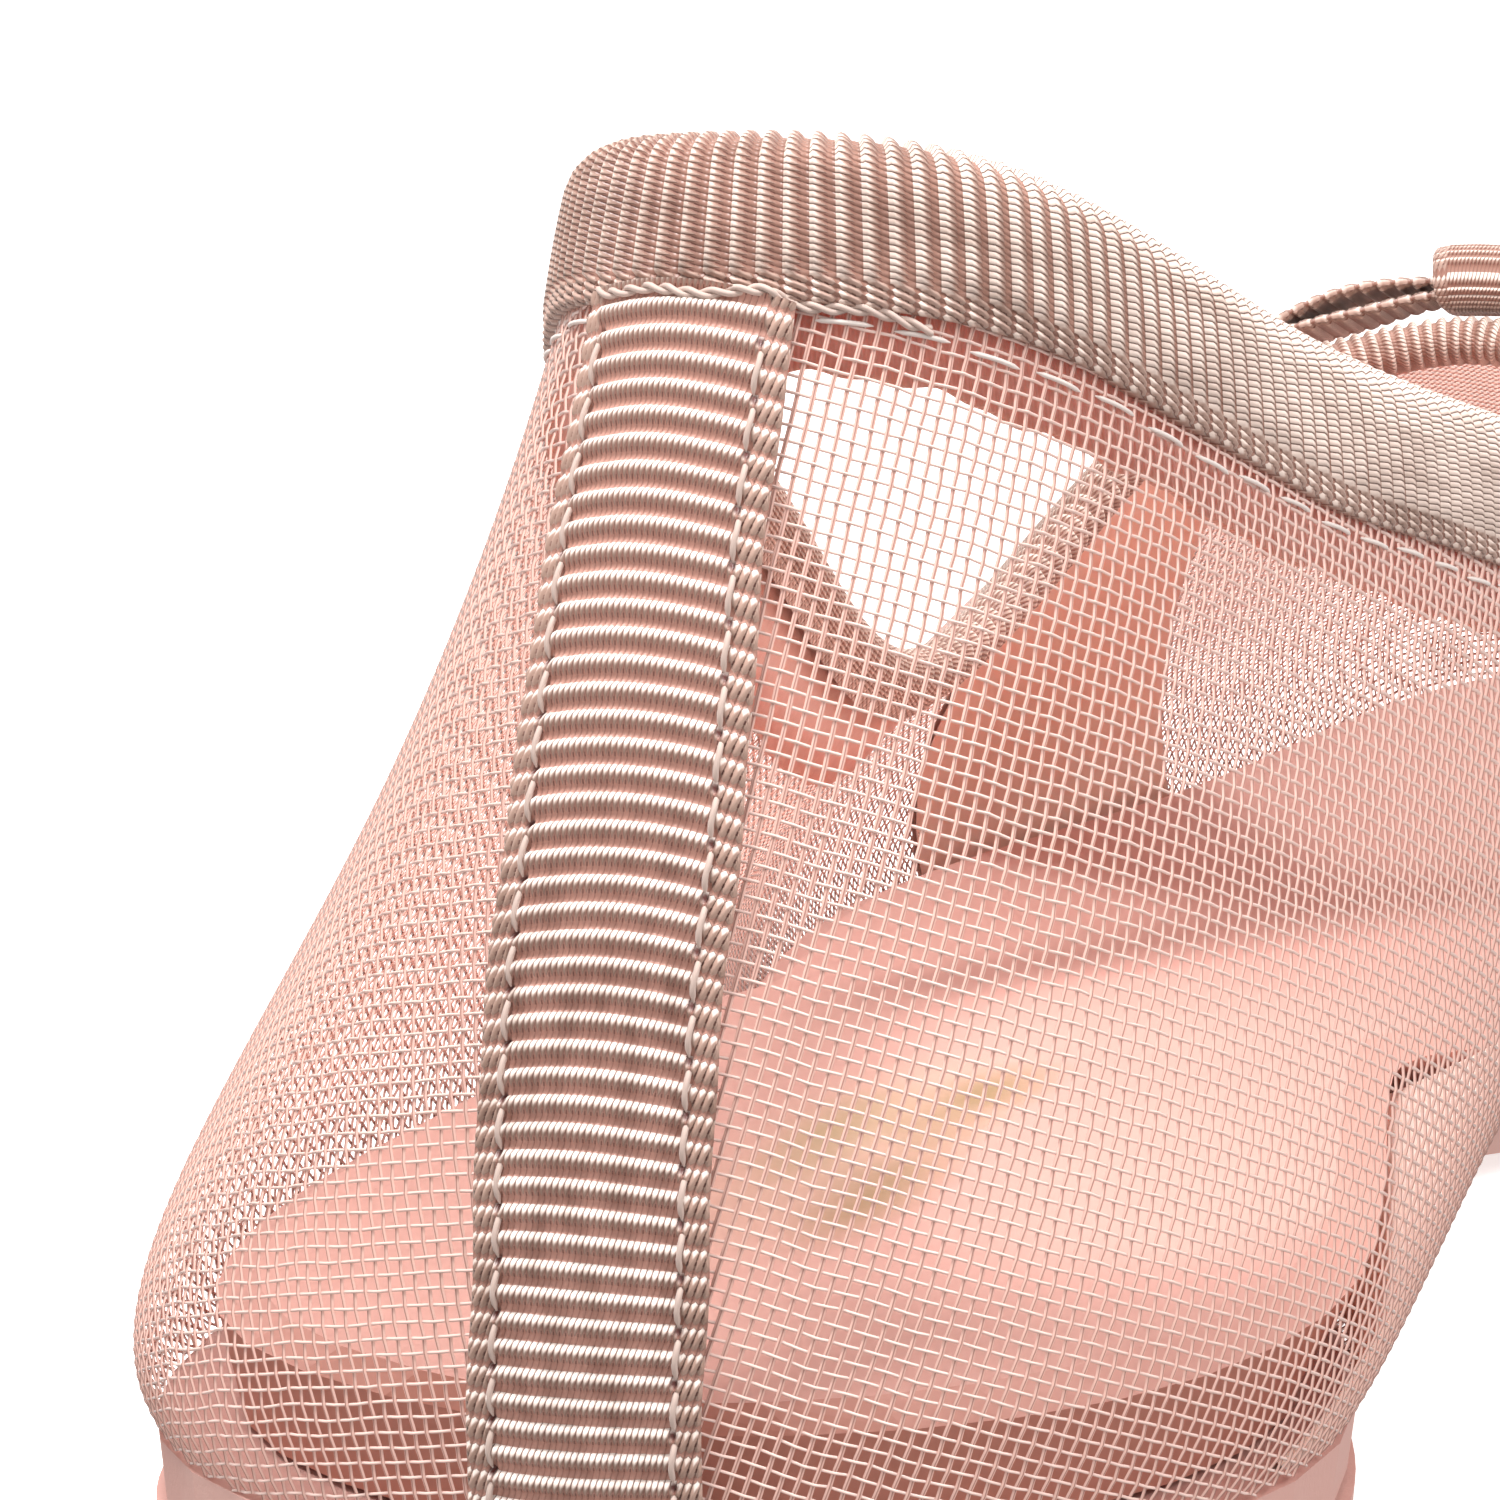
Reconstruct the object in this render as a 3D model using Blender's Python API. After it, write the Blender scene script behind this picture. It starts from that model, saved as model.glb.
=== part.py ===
"""Ballet flat for the left foot: a soft mesh upper on a thin sole with a low heel.

Axes: +Y points to the toe, +X to the inner (medial) side of the foot and +Z up.
The origin is on the floor under the middle of the heel.
The build works in millimetres and turns them to metres when each mesh is made.
"""
import math

import bmesh
import bpy
import numpy as np

MM = 0.001

# Driving sizes, in millimetres
SOLE_LENGTH = 244.0
BALL_WIDTH = 76.0
BACK_HEIGHT = 52.0  # from the seat of the heel up to the topline at the back
SEAT_HEIGHT = 12.0  # top of the outsole at the heel, above the floor
SOLE_THICKNESS = 3.0
TOE_SPRING = 5.5
HEEL_TAPER = 0.8  # how far the heel's sides lean in on their way down
HEEL_LENGTH = 52.0
BREAST_HOLLOW = 3.0  # how far the heel's front face curves in
WALL = 1.0  # mesh with its backing
INSOLE_SEAT_THICKNESS = 5.7
INSOLE_TOE_THICKNESS = 3.0
INSOLE_INSET = 2.7  # from the sole's outline, at the insole's underside
INSOLE_CLEAR = 1.7  # from the wall's inner face, at the insole's top
INSOLE_EDGE_RADIUS = 1.2
INSOLE_CUP = 0.6
BINDING_OUTER = 5.0
BINDING_INNER = 7.6
BINDING_THICKNESS = 0.9
TAPE_WIDTH = 9.0
TAPE_TOP_WIDTH = 8.0  # where the binding draws it in
TAPE_THICKNESS = 0.9
BOW_SPAN = 27.0
BOW_RIBBON = 7.5
BOW_PINCH = 4.6  # width of the bow's ribbon where the knot holds it
BOW_THICKNESS = 0.8
BOW_RISE = 3.6
BOW_SQUEEZE = 0.5  # share of its height that a loop keeps at the knot
BOW_BEND = 26.0  # radius that the bow follows over the instep
KNOT_WIDTH = 5.6
KNOT_DEPTH = 8.4
KNOT_RISE = 4.4
GAP = 0.3  # between pieces that touch
NEAR = SOLE_LENGTH / 500  # step to a neighbouring place, for directions on the wall

BREAST = HEEL_LENGTH - 0.1 * SOLE_LENGTH  # where the heel ends, from the origin
BALL_START = 0.485 * SOLE_LENGTH  # the flat spot under the ball of the foot
BALL_END = 0.67 * SOLE_LENGTH

# The last, one row for each line that runs up the wall from sole to topline,
# from the back round the inner side to the toe and home along the outer side.
# along: share of SOLE_LENGTH. across and bulge: share of BALL_WIDTH.
# height and rise: share of BACK_HEIGHT. ease_out and ease_down: how far the wall's
# upper handle lies on the way from the topline to the bulge, level and downwards.
LAST_COLUMNS = (
    "foot_along", "foot_across", "top_along", "top_across", "height",
    "bulge", "rise", "ease_out", "ease_down",
)
LAST = {
    "back":         (-0.100, 0.021, -0.065, 0.040, 1.000, 0.026, 0.35, 0.41, 0.41),
    "back_inner":   (-0.073, 0.214, -0.054, 0.164, 0.985, 0.034, 0.17, 0.50, 0.60),
    "seat_inner":   (0.000, 0.320, 0.008, 0.274, 0.846, 0.052, 0.13, 0.60, 0.65),
    "breast_inner": (0.100, 0.240, 0.098, 0.363, 0.717, 0.178, 0.16, 0.62, 0.62),
    "waist_inner":  (0.240, 0.128, 0.234, 0.382, 0.510, 0.268, 0.17, 0.60, 0.60),
    "notch_inner":  (0.389, 0.190, 0.381, 0.355, 0.298, 0.128, 0.12, 0.60, 0.60),
    "ball_inner":   (0.574, 0.450, 0.459, 0.263, 0.510, 0.053, 0.19, 0.50, 0.50),
    "toe_inner":    (0.762, 0.405, 0.498, 0.164, 0.603, 0.039, 0.25, 0.50, 0.50),
    "corner_inner": (0.868, 0.272, 0.514, 0.105, 0.628, 0.033, 0.27, 0.48, 0.48),
    "tip":          (0.900, 0.033, 0.519, 0.051, 0.635, 0.029, 0.29, 0.47, 0.47),
    "corner_outer": (0.868, -0.216, 0.514, -0.005, 0.626, 0.033, 0.27, 0.48, 0.48),
    "toe_outer":    (0.758, -0.375, 0.496, -0.086, 0.597, 0.039, 0.25, 0.50, 0.50),
    "ball_outer":   (0.533, -0.526, 0.451, -0.191, 0.500, 0.053, 0.19, 0.50, 0.50),
    "notch_outer":  (0.361, -0.421, 0.379, -0.276, 0.312, 0.039, 0.12, 0.60, 0.60),
    "waist_outer":  (0.225, -0.342, 0.234, -0.243, 0.540, 0.042, 0.13, 0.55, 0.65),
    "breast_outer": (0.107, -0.330, 0.098, -0.170, 0.760, 0.066, 0.13, 0.38, 0.60),
    "seat_outer":   (0.000, -0.334, 0.004, -0.094, 0.886, 0.068, 0.13, 0.29, 0.60),
    "back_outer":   (-0.072, -0.232, -0.043, -0.044, 0.972, 0.053, 0.16, 0.30, 0.58),
}
COLUMN_SIZE = {
    "foot_along": SOLE_LENGTH, "foot_across": BALL_WIDTH,
    "top_along": SOLE_LENGTH, "top_across": BALL_WIDTH,
    "height": BACK_HEIGHT, "bulge": BALL_WIDTH, "rise": BACK_HEIGHT,
    "ease_out": 1.0, "ease_down": 1.0,
}

# How finely the faceted solids are cut
WALL_LINES = 84
WALL_LEVELS = 11
SOLE_STATIONS = 40
LEAST_HALF = 0.3  # half the width that is left at the very ends of a sole piece


def last_values():
    """The last's table in millimetres, one row for each line."""
    sizes = np.array([COLUMN_SIZE[name] for name in LAST_COLUMNS])
    return np.array(list(LAST.values())) * sizes


def loop_spline(places, values, period):
    """Second derivatives of the smooth closed curve through the values."""
    count = len(places)
    steps = np.diff(np.append(places, period))
    matrix = np.zeros((count, count))
    right = np.zeros_like(values)
    for i in range(count):
        before, after = steps[i - 1], steps[i]
        matrix[i, i - 1] += before
        matrix[i, i] += 2 * (before + after)
        matrix[i, (i + 1) % count] += after
        slope_after = (values[(i + 1) % count] - values[i]) / after
        slope_before = (values[i] - values[i - 1]) / before
        right[i] = 6 * (slope_after - slope_before)
    return np.linalg.solve(matrix, right)


LAST_TABLE = last_values()
_middle = (LAST_TABLE[:, 0:2] + LAST_TABLE[:, 2:4]) / 2
_chords = np.linalg.norm(np.roll(_middle, -1, axis=0) - _middle, axis=1)
GIRTH = float(_chords.sum())  # length of the way round that places each line
LINE_PLACES = np.concatenate([[0.0], np.cumsum(_chords)[:-1]])
LINE_BENDS = loop_spline(LINE_PLACES, LAST_TABLE, GIRTH)
TIP_PLACE = float(LINE_PLACES[list(LAST).index("tip")])


def last_row(place):
    """Every column of the last at a place on the way round, smoothly between rows."""
    place = place % GIRTH
    i = int(np.searchsorted(LINE_PLACES, place, side="right") - 1)
    j = (i + 1) % len(LINE_PLACES)
    start = LINE_PLACES[i]
    end = LINE_PLACES[j] if j else GIRTH
    step = end - start
    a = (end - place) / step
    b = (place - start) / step
    bend = ((a ** 3 - a) * LINE_BENDS[i] + (b ** 3 - b) * LINE_BENDS[j]) * step ** 2 / 6
    return a * LAST_TABLE[i] + b * LAST_TABLE[j] + bend


def smoothstep(t):
    t = min(max(t, 0.0), 1.0)
    return t * t * (3 - 2 * t)


def sole_under(along):
    """Height of the outsole's underside: seat, arch, flat ball and toe spring."""
    seat = SEAT_HEIGHT - SOLE_THICKNESS
    if along < BALL_START:
        return seat * (1 - smoothstep((along - BREAST) / (BALL_START - BREAST)))
    toe = max(along - BALL_END, 0.0) / (0.9 * SOLE_LENGTH - BALL_END)
    return TOE_SPRING * toe ** 2


def sole_top(along):
    return sole_under(along) + SOLE_THICKNESS


def foot_point(place):
    row = last_row(place)
    return np.array([row[1], row[0]])


def outward(place):
    """Level direction that points out of the shoe at the foot of the wall."""
    ahead = foot_point(place + NEAR) - foot_point(place - NEAR)
    return np.array([ahead[1], -ahead[0]]) / np.linalg.norm(ahead)


def wall_handles(place):
    """The four handles of the curve that climbs the wall at a place."""
    row = dict(zip(LAST_COLUMNS, last_row(place)))
    out = outward(place) * row["bulge"]
    foot = np.array([
        row["foot_across"], row["foot_along"], sole_top(row["foot_along"]) + GAP,
    ])
    top = np.array([row["top_across"], row["top_along"], SEAT_HEIGHT + row["height"]])
    belly = foot + np.array([out[0], out[1], row["rise"]])
    ease = np.array([row["ease_out"], row["ease_out"], row["ease_down"]])
    return foot, belly, top + ease * (belly - top), top


def wall_curve(place, level):
    """A point on the wall's outer face. level is 0 at the sole and 1 at the topline."""
    p0, p1, p2, p3 = wall_handles(place)
    t = level
    s = 1 - t
    return s ** 3 * p0 + 3 * s * s * t * p1 + 3 * s * t * t * p2 + t ** 3 * p3


def wall_axes(place, level):
    """Point, climb, girth and outward directions on the wall's outer face."""
    low = min(max(level, 0.02), 0.98)
    climb = wall_curve(place, low + 0.02) - wall_curve(place, low - 0.02)
    girth = wall_curve(place + NEAR, level) - wall_curve(place - NEAR, level)
    climb /= np.linalg.norm(climb)
    girth /= np.linalg.norm(girth)
    normal = np.cross(girth, climb)
    normal /= np.linalg.norm(normal)
    return wall_curve(place, level), climb, girth, normal


def level_at(place, depth):
    """Level of the point that lies depth below the topline, along the wall."""
    levels = np.linspace(1.0, 0.0, 41)
    points = np.array([wall_curve(place, level) for level in levels])
    runs = np.concatenate([[0.0], np.cumsum(np.linalg.norm(np.diff(points, axis=0), axis=1))])
    return float(np.interp(depth, runs, levels))


def on_wall(place, depth, offset):
    """A point set off from the wall, depth below the topline. Above it, depth is negative."""
    point, climb, girth, normal = wall_axes(place, 1.0)
    square = np.linalg.norm(np.cross(climb, girth))  # the band keeps its width on a slope
    run = depth / max(square, 0.5)
    if run <= 0:
        return point - climb * run + normal * offset
    point, _, _, normal = wall_axes(place, level_at(place, run))
    return point + normal * offset


def places_round(count):
    """Places spread evenly over the way round, starting at the back."""
    return [GIRTH * i / count for i in range(count)]


def inside_point(place, lift):
    """Point of the wall's inner face at a height above the sole."""
    points = []
    for k in range(WALL_LEVELS):
        point, _, _, normal = wall_axes(place, 0.6 * k / (WALL_LEVELS - 1))
        points.append(point - normal * WALL)
    points = np.array(points)
    lifts = [point[2] - sole_top(point[1]) - GAP for point in points]
    return np.array([np.interp(lift, lifts, points[:, 0]), np.interp(lift, lifts, points[:, 1])])


def branches(points):
    """A closed outline as two branches, inner and outer, each from heel to toe."""
    heel = int(points[:, 1].argmin())
    toe = int(points[:, 1].argmax())
    points = np.roll(points, -heel, axis=0)
    toe = (toe - heel) % len(points)
    inner = points[:toe + 1]
    outer = np.vstack([points[toe:], points[:1]])[::-1]
    return inner, outer


SOLE_EDGES = branches(np.array([foot_point(place) for place in places_round(720)]))
HEEL_END = float(SOLE_EDGES[0][0, 1])
TOE_END = float(SOLE_EDGES[0][-1, 1])


def across_at(along, inset=0.0, edges=SOLE_EDGES):
    """Inner and outer edge of an outline at a station, set in by inset."""
    start, end = edges[0][0, 1], edges[0][-1, 1]
    middle = (end + start) / 2
    stretch = (end - start) / (end - start - 2 * inset)
    near = middle + (along - middle) * stretch
    inner = np.interp(near, edges[0][:, 1], edges[0][:, 0])
    outer = np.interp(near, edges[1][:, 1], edges[1][:, 0])
    centre, half = (inner + outer) / 2, (inner - outer) / 2
    half = max(half - inset, LEAST_HALF)
    return centre + half, centre - half


def stations(start, end, count):
    """Places from start to end, closer together at both ends."""
    turns = [math.pi * (i + 0.35) / (count - 0.3) for i in range(count)]
    return [(start + end) / 2 - (end - start) / 2 * math.cos(turn) for turn in turns]


def new_object(name, bm, colour, roughness):
    """Turn a bmesh in millimetres into a named object in metres with its own material."""
    bmesh.ops.recalc_face_normals(bm, faces=bm.faces)
    bmesh.ops.scale(bm, vec=(MM, MM, MM), verts=bm.verts)
    mesh = bpy.data.meshes.new(name)
    bm.to_mesh(mesh)
    bm.free()
    mesh.shade_smooth()
    mesh.set_sharp_from_angle(angle=math.radians(40))
    material = bpy.data.materials.new(name)
    material.use_nodes = True
    shader = material.node_tree.nodes["Principled BSDF"]
    shader.inputs["Base Color"].default_value = (*colour, 1.0)
    shader.inputs["Roughness"].default_value = roughness
    shader.inputs["Metallic"].default_value = 0.0
    mesh.materials.append(material)
    piece = bpy.data.objects.new(name, mesh)
    bpy.context.scene.collection.objects.link(piece)
    return piece


def loft(rings, closed=False):
    """Skin rings of equally many points. Open lofts get a face at each end."""
    bm = bmesh.new()
    loops = [[bm.verts.new(point) for point in ring] for ring in rings]
    pairs = list(zip(loops, loops[1:]))
    if closed:
        pairs.append((loops[-1], loops[0]))
    for low, high in pairs:
        for i in range(len(low)):
            j = (i + 1) % len(low)
            bm.faces.new((low[i], low[j], high[j], high[i]))
    if not closed:
        bm.faces.new(loops[0][::-1])
        bm.faces.new(loops[-1])
    return bm


def build_outsole():
    """Thin sole: its full outline, with seat, arch, flat ball and toe spring."""
    shares = (-1.0, -0.5, 0.0, 0.5, 1.0)
    rings = []
    for along in stations(HEEL_END, TOE_END, SOLE_STATIONS):
        inner, outer = across_at(along)
        middle, half = (inner + outer) / 2, (inner - outer) / 2
        top = [(middle + half * s, along, sole_top(along)) for s in shares]
        under = [(middle + half * s * 0.985, along, sole_under(along)) for s in shares[::-1]]
        rings.append(top + under)
    return new_object("outsole", loft(rings), (0.46, 0.25, 0.23), 0.6)


def build_heel():
    """Low heel block under the seat, with a hollow front face."""
    shares = (-1.0, -0.5, 0.0, 0.5, 1.0)
    under = SEAT_HEIGHT - SOLE_THICKNESS - GAP
    rings = []
    for along in stations(HEEL_END, 2 * BREAST - HEEL_END, 2 * SOLE_STATIONS):
        if along > BREAST:
            break
        inner, outer = across_at(along)
        low_inner, low_outer = across_at(along, HEEL_TAPER)
        low_along = max(along, HEEL_END + HEEL_TAPER)
        share = (along - HEEL_END) / (BREAST - HEEL_END)
        high, low = [], []
        for s in shares:
            hollow = BREAST_HOLLOW * (1 - s * s) * smoothstep(2 * share - 1)
            high.append(((inner + outer) / 2 + (inner - outer) / 2 * s, along - hollow, under))
            low.append((
                (low_inner + low_outer) / 2 + (low_inner - low_outer) / 2 * s,
                low_along - hollow, 0.0,
            ))
        rings.append(high + low[::-1])
    return new_object("heel", loft(rings), (0.44, 0.24, 0.22), 0.6)


def insole_thickness(along):
    share = smoothstep((along - BREAST) / (BALL_END - BREAST))
    return INSOLE_SEAT_THICKNESS + (INSOLE_TOE_THICKNESS - INSOLE_SEAT_THICKNESS) * share


def build_insole():
    """Padded footbed inside the upper, fitted to the wall, with a rounded top edge."""
    shares = (-0.96, -0.5, 0.0, 0.5, 0.96)
    top_edges = branches(np.array([
        inside_point(place, insole_thickness(foot_point(place)[1]) - INSOLE_EDGE_RADIUS)
        for place in places_round(3 * WALL_LINES)
    ]))
    starts = HEEL_END + INSOLE_INSET, top_edges[0][0, 1] + INSOLE_CLEAR
    ends = TOE_END - INSOLE_INSET, top_edges[0][-1, 1] - INSOLE_CLEAR
    low_stations = stations(starts[0], ends[0], SOLE_STATIONS)
    top_stations = stations(starts[1], ends[1], SOLE_STATIONS)
    rings = []
    for along, top_along in zip(low_stations, top_stations):
        inner, outer = across_at(along, INSOLE_INSET)
        top_inner, top_outer = across_at(top_along, INSOLE_CLEAR, top_edges)
        middle, half = (top_inner + top_outer) / 2, (top_inner - top_outer) / 2
        low = sole_top(along) + GAP
        high = sole_top(top_along) + GAP + insole_thickness(top_along)
        shoulder = high - INSOLE_EDGE_RADIUS
        crown = max(half - INSOLE_EDGE_RADIUS, half * 0.5)
        top = [(middle + crown * s, top_along, high - INSOLE_CUP * (1 - s * s)) for s in shares]
        rings.append(
            [(outer, along, low), (top_outer, top_along, shoulder)]
            + top
            + [(top_inner, top_along, shoulder), (inner, along, low)]
        )
    return new_object("insole", loft(rings), (0.86, 0.60, 0.54), 0.5)


def build_upper():
    """One hollow wall, open at the topline and along the foot, where the sole closes it."""
    rings = []
    for place in places_round(WALL_LINES):
        outer, inner = [], []
        for k in range(WALL_LEVELS):
            level = k / (WALL_LEVELS - 1)
            point, _, _, normal = wall_axes(place, level)
            outer.append(point)
            inner.append(point - normal * WALL)
        inner[0][2] = max(inner[0][2], outer[0][2])
        rings.append(outer + inner[::-1])
    return new_object("upper", loft(rings, closed=True), (0.93, 0.66, 0.60), 0.55)


def build_binding():
    """Folded ribbon over the topline, its inner leg longer than its outer one."""
    near = GAP
    far = GAP + BINDING_THICKNESS
    section = (
        (BINDING_OUTER, near), (BINDING_OUTER, far), (BINDING_OUTER / 2, far), (0.0, far),
        (-far * 0.8, GAP), (-far, -WALL / 2), (-far * 0.8, -WALL - GAP), (0.0, -WALL - far),
        (BINDING_INNER / 2, -WALL - far), (BINDING_INNER, -WALL - far),
        (BINDING_INNER, -WALL - near), (BINDING_INNER / 2, -WALL - near),
        (0.0, -WALL - near), (-near, -WALL / 2), (0.0, near), (BINDING_OUTER / 2, near),
    )
    rings = []
    for place in places_round(WALL_LINES):
        rings.append([on_wall(place, depth, offset) for depth, offset in section])
    return new_object("topline_binding", loft(rings, closed=True), (0.55, 0.36, 0.31), 0.6)


def tape_place(level, side):
    """Place on the way round that lies side millimetres from the back seam."""
    step = wall_curve(1.0, level) - wall_curve(-1.0, level)
    return 2 * side / float(np.linalg.norm(step))


def build_tape():
    """Ribbon that covers the back seam, from the binding down to the sole."""
    top_level = level_at(0.0, BINDING_OUTER + GAP)
    rings = []
    for k in range(15):
        level = top_level * k / 14
        width = TAPE_WIDTH + (TAPE_TOP_WIDTH - TAPE_WIDTH) * smoothstep(2 * k / 14 - 1)
        inner, outer = [], []
        for share in (-0.5, -0.25, 0.0, 0.25, 0.5):
            point, _, _, normal = wall_axes(tape_place(level, width * share), level)
            inner.append(point + normal * GAP)
            outer.append(point + normal * (GAP + TAPE_THICKNESS))
        rings.append(outer + inner[::-1])
    return new_object("heel_tape", loft(rings), (0.55, 0.36, 0.31), 0.6)


def bow_frame():
    """Where the bow sits: on the binding at the middle of the throat."""
    centre = on_wall(TIP_PLACE, BOW_RIBBON / 2, 2 * GAP + BINDING_THICKNESS)
    _, climb, girth, normal = wall_axes(TIP_PLACE, level_at(TIP_PLACE, BOW_RIBBON / 2))
    return centre, -girth, -climb, normal


def on_bow(side, ahead, lift):
    """A point of the bow: side across the throat, ahead towards the toe, lift off the shoe."""
    centre, right, forward, normal = bow_frame()
    turn = side / BOW_BEND
    reach = BOW_BEND + lift
    return (
        centre + right * reach * math.sin(turn) + forward * ahead
        + normal * (reach * math.cos(turn) - BOW_BEND)
    )


def bow_path(turn):
    """Run from the knot and height over the shoe, as the ribbon goes out and comes back."""
    share = math.sin(turn)
    reach = (BOW_SPAN - BOW_THICKNESS) / 2 - KNOT_WIDTH / 2 - GAP
    swell = BOW_SQUEEZE + (1 - BOW_SQUEEZE) * smoothstep(2 * share)
    lift = (BOW_RISE - math.cos(turn) * (BOW_RISE - BOW_THICKNESS) * swell) / 2
    return np.array([KNOT_WIDTH / 2 + GAP + reach * share, lift])


def build_bow_loop(name, side):
    """Half of the bow: a ribbon that runs out, folds over and comes back to the knot."""
    rings = []
    steps = 20
    for i in range(steps + 1):
        turn = math.pi * i / steps
        run, lift = bow_path(turn)
        ahead = bow_path(min(turn + 0.02, math.pi)) - bow_path(max(turn - 0.02, 0.0))
        ahead /= np.linalg.norm(ahead)
        width = BOW_PINCH + (BOW_RIBBON - BOW_PINCH) * smoothstep(1.3 * math.sin(turn))
        ring = []
        for edge, face in ((-1, -1), (1, -1), (1, 1), (-1, 1)):
            thick = face * BOW_THICKNESS / 2
            ring.append(on_bow(
                side * (run + ahead[1] * thick), edge * width / 2, lift - ahead[0] * thick,
            ))
        rings.append(ring)
    return new_object(name, loft(rings), (0.55, 0.36, 0.31), 0.6)


def build_knot():
    """Short band of ribbon that wraps the middle of the bow."""
    rings = []
    for share in (-1.0, -0.8, 0.8, 1.0):
        thin = 0.82 if abs(share) == 1.0 else 1.0
        ring = []
        for i in range(16):
            turn = 2 * math.pi * i / 16
            ahead = math.copysign(abs(math.cos(turn)) ** 0.6, math.cos(turn)) * KNOT_DEPTH / 2
            lift = math.copysign(abs(math.sin(turn)) ** 0.6, math.sin(turn)) * KNOT_RISE / 2
            ring.append(on_bow(
                share * KNOT_WIDTH / 2, ahead * thin, KNOT_RISE / 2 + lift * thin,
            ))
        rings.append(ring)
    return new_object("bow_knot", loft(rings), (0.55, 0.36, 0.31), 0.6)


for old in list(bpy.data.objects):
    bpy.data.objects.remove(old, do_unlink=True)

build_outsole()
build_heel()
build_insole()
build_upper()
build_binding()
build_tape()
build_bow_loop("bow_loop_inner", 1)
build_bow_loop("bow_loop_outer", -1)
build_knot()
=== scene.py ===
"""Looks of a left ballet flat: open nylon mesh, grosgrain ribbon, leather insole, rubber sole.

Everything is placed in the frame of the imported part: +Y to the toe, +X to the inner side.
Shapes are worked out in millimetres and turned to metres when each mesh is made.
"""
import math

import bpy
import numpy as np
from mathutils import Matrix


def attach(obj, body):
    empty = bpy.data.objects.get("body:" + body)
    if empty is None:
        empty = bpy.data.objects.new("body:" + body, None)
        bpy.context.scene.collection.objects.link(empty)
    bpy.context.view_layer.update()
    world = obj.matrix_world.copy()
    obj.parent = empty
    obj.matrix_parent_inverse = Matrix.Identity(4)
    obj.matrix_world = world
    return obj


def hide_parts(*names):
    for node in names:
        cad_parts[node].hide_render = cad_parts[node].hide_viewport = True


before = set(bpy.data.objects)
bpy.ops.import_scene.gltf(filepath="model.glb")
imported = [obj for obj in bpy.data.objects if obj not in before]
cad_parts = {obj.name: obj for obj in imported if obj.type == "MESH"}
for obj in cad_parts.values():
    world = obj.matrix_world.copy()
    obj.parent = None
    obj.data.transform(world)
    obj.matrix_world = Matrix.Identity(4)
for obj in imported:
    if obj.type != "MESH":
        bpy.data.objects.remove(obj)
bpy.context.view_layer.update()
MM = 0.001


# Camera
# The photograph looks at the heel from close behind it, a little above and from the
# inner side, through a long lens. The camera stands where that lens stood.
CAMERA_PLACE = (0.0713, -0.2119, 0.0777)
CAMERA_DOWN = 9.75
CAMERA_ROUND = 18.7
CAMERA_LENS = 133.6
lens = bpy.data.cameras.new("camera")
lens.sensor_width = 36.0
lens.lens = CAMERA_LENS
lens.clip_start = 0.01
camera = bpy.data.objects.new("camera", lens)
camera.location = CAMERA_PLACE
camera.rotation_euler = (math.radians(90 - CAMERA_DOWN), 0.0, math.radians(CAMERA_ROUND))
bpy.context.scene.collection.objects.link(camera)
bpy.context.scene.camera = camera


# Studio
# A white paper sweep in a light tent that is bright above and dim below, with one soft
# lamp overhead behind the heel and a weaker one on the right.
def linear(code):
    """An sRGB hex colour as linear red, green, blue and alpha."""
    parts = [int(code[i:i + 2], 16) / 255 for i in (1, 3, 5)]
    parts = [p / 12.92 if p <= 0.04045 else ((p + 0.055) / 1.055) ** 2.4 for p in parts]
    return (*parts, 1.0)


def add_node(material, kind, settings=(), links=()):
    """Add a node. A setting named in lower case is the node's own, any other is an input."""
    made = material.node_tree.nodes.new(kind)
    for name, value in dict(settings).items():
        if isinstance(name, str) and name[0].islower():
            setattr(made, name, value)
        else:
            made.inputs[name].default_value = value
    for name, socket in dict(links).items():
        material.node_tree.links.new(socket, made.inputs[name])
    return made


def new_material(name):
    """A material with only its output node."""
    material = bpy.data.materials.new(name)
    material.use_nodes = True
    material.node_tree.nodes.clear()
    return material


def finish_material(material, shader):
    add_node(material, "ShaderNodeOutputMaterial", links={"Surface": shader.outputs[0]})


def quad_piece(name, points, quads, material, attributes=()):
    """A smooth mesh object from points in millimetres and faces of four corners."""
    mesh = bpy.data.meshes.new(name)
    points = np.asarray(points, dtype=np.float32).reshape(-1, 3)
    quads = np.asarray(quads, dtype=np.int32).reshape(-1, 4)
    mesh.vertices.add(len(points))
    mesh.vertices.foreach_set("co", (points * MM).ravel())
    mesh.loops.add(quads.size)
    mesh.loops.foreach_set("vertex_index", quads.ravel())
    mesh.polygons.add(len(quads))
    mesh.polygons.foreach_set("loop_start", np.arange(0, quads.size, 4, dtype=np.int32))
    mesh.update(calc_edges=True)
    mesh.shade_smooth()
    for label, values in dict(attributes).items():
        values = np.asarray(values, dtype=np.float32)
        kind = "FLOAT_VECTOR" if values.shape[-1] == 3 and values.size == 3 * len(points) else "FLOAT"
        layer = mesh.attributes.new(label, kind, "POINT")
        layer.data.foreach_set("vector" if kind == "FLOAT_VECTOR" else "value", values.ravel())
    mesh.materials.append(material)
    piece = bpy.data.objects.new(name, mesh)
    bpy.context.scene.collection.objects.link(piece)
    return piece


# Rolled background paper, dull white, overlit a little so that it drops out of the picture.
paper = new_material("paper_sweep")
finish_material(paper, add_node(paper, "ShaderNodeBsdfPrincipled", {
    "Base Color": linear("#F7F6F5"), "Roughness": 0.9,
    "Emission Color": linear("#FFFFFF"), "Emission Strength": 0.6,
}))
SWEEP = 6000.0  # half its size
floor = quad_piece(
    "floor", [(-SWEEP, -SWEEP, 0), (SWEEP, -SWEEP, 0), (SWEEP, SWEEP, 0), (-SWEEP, SWEEP, 0)],
    [(0, 1, 2, 3)], paper,
)
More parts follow.
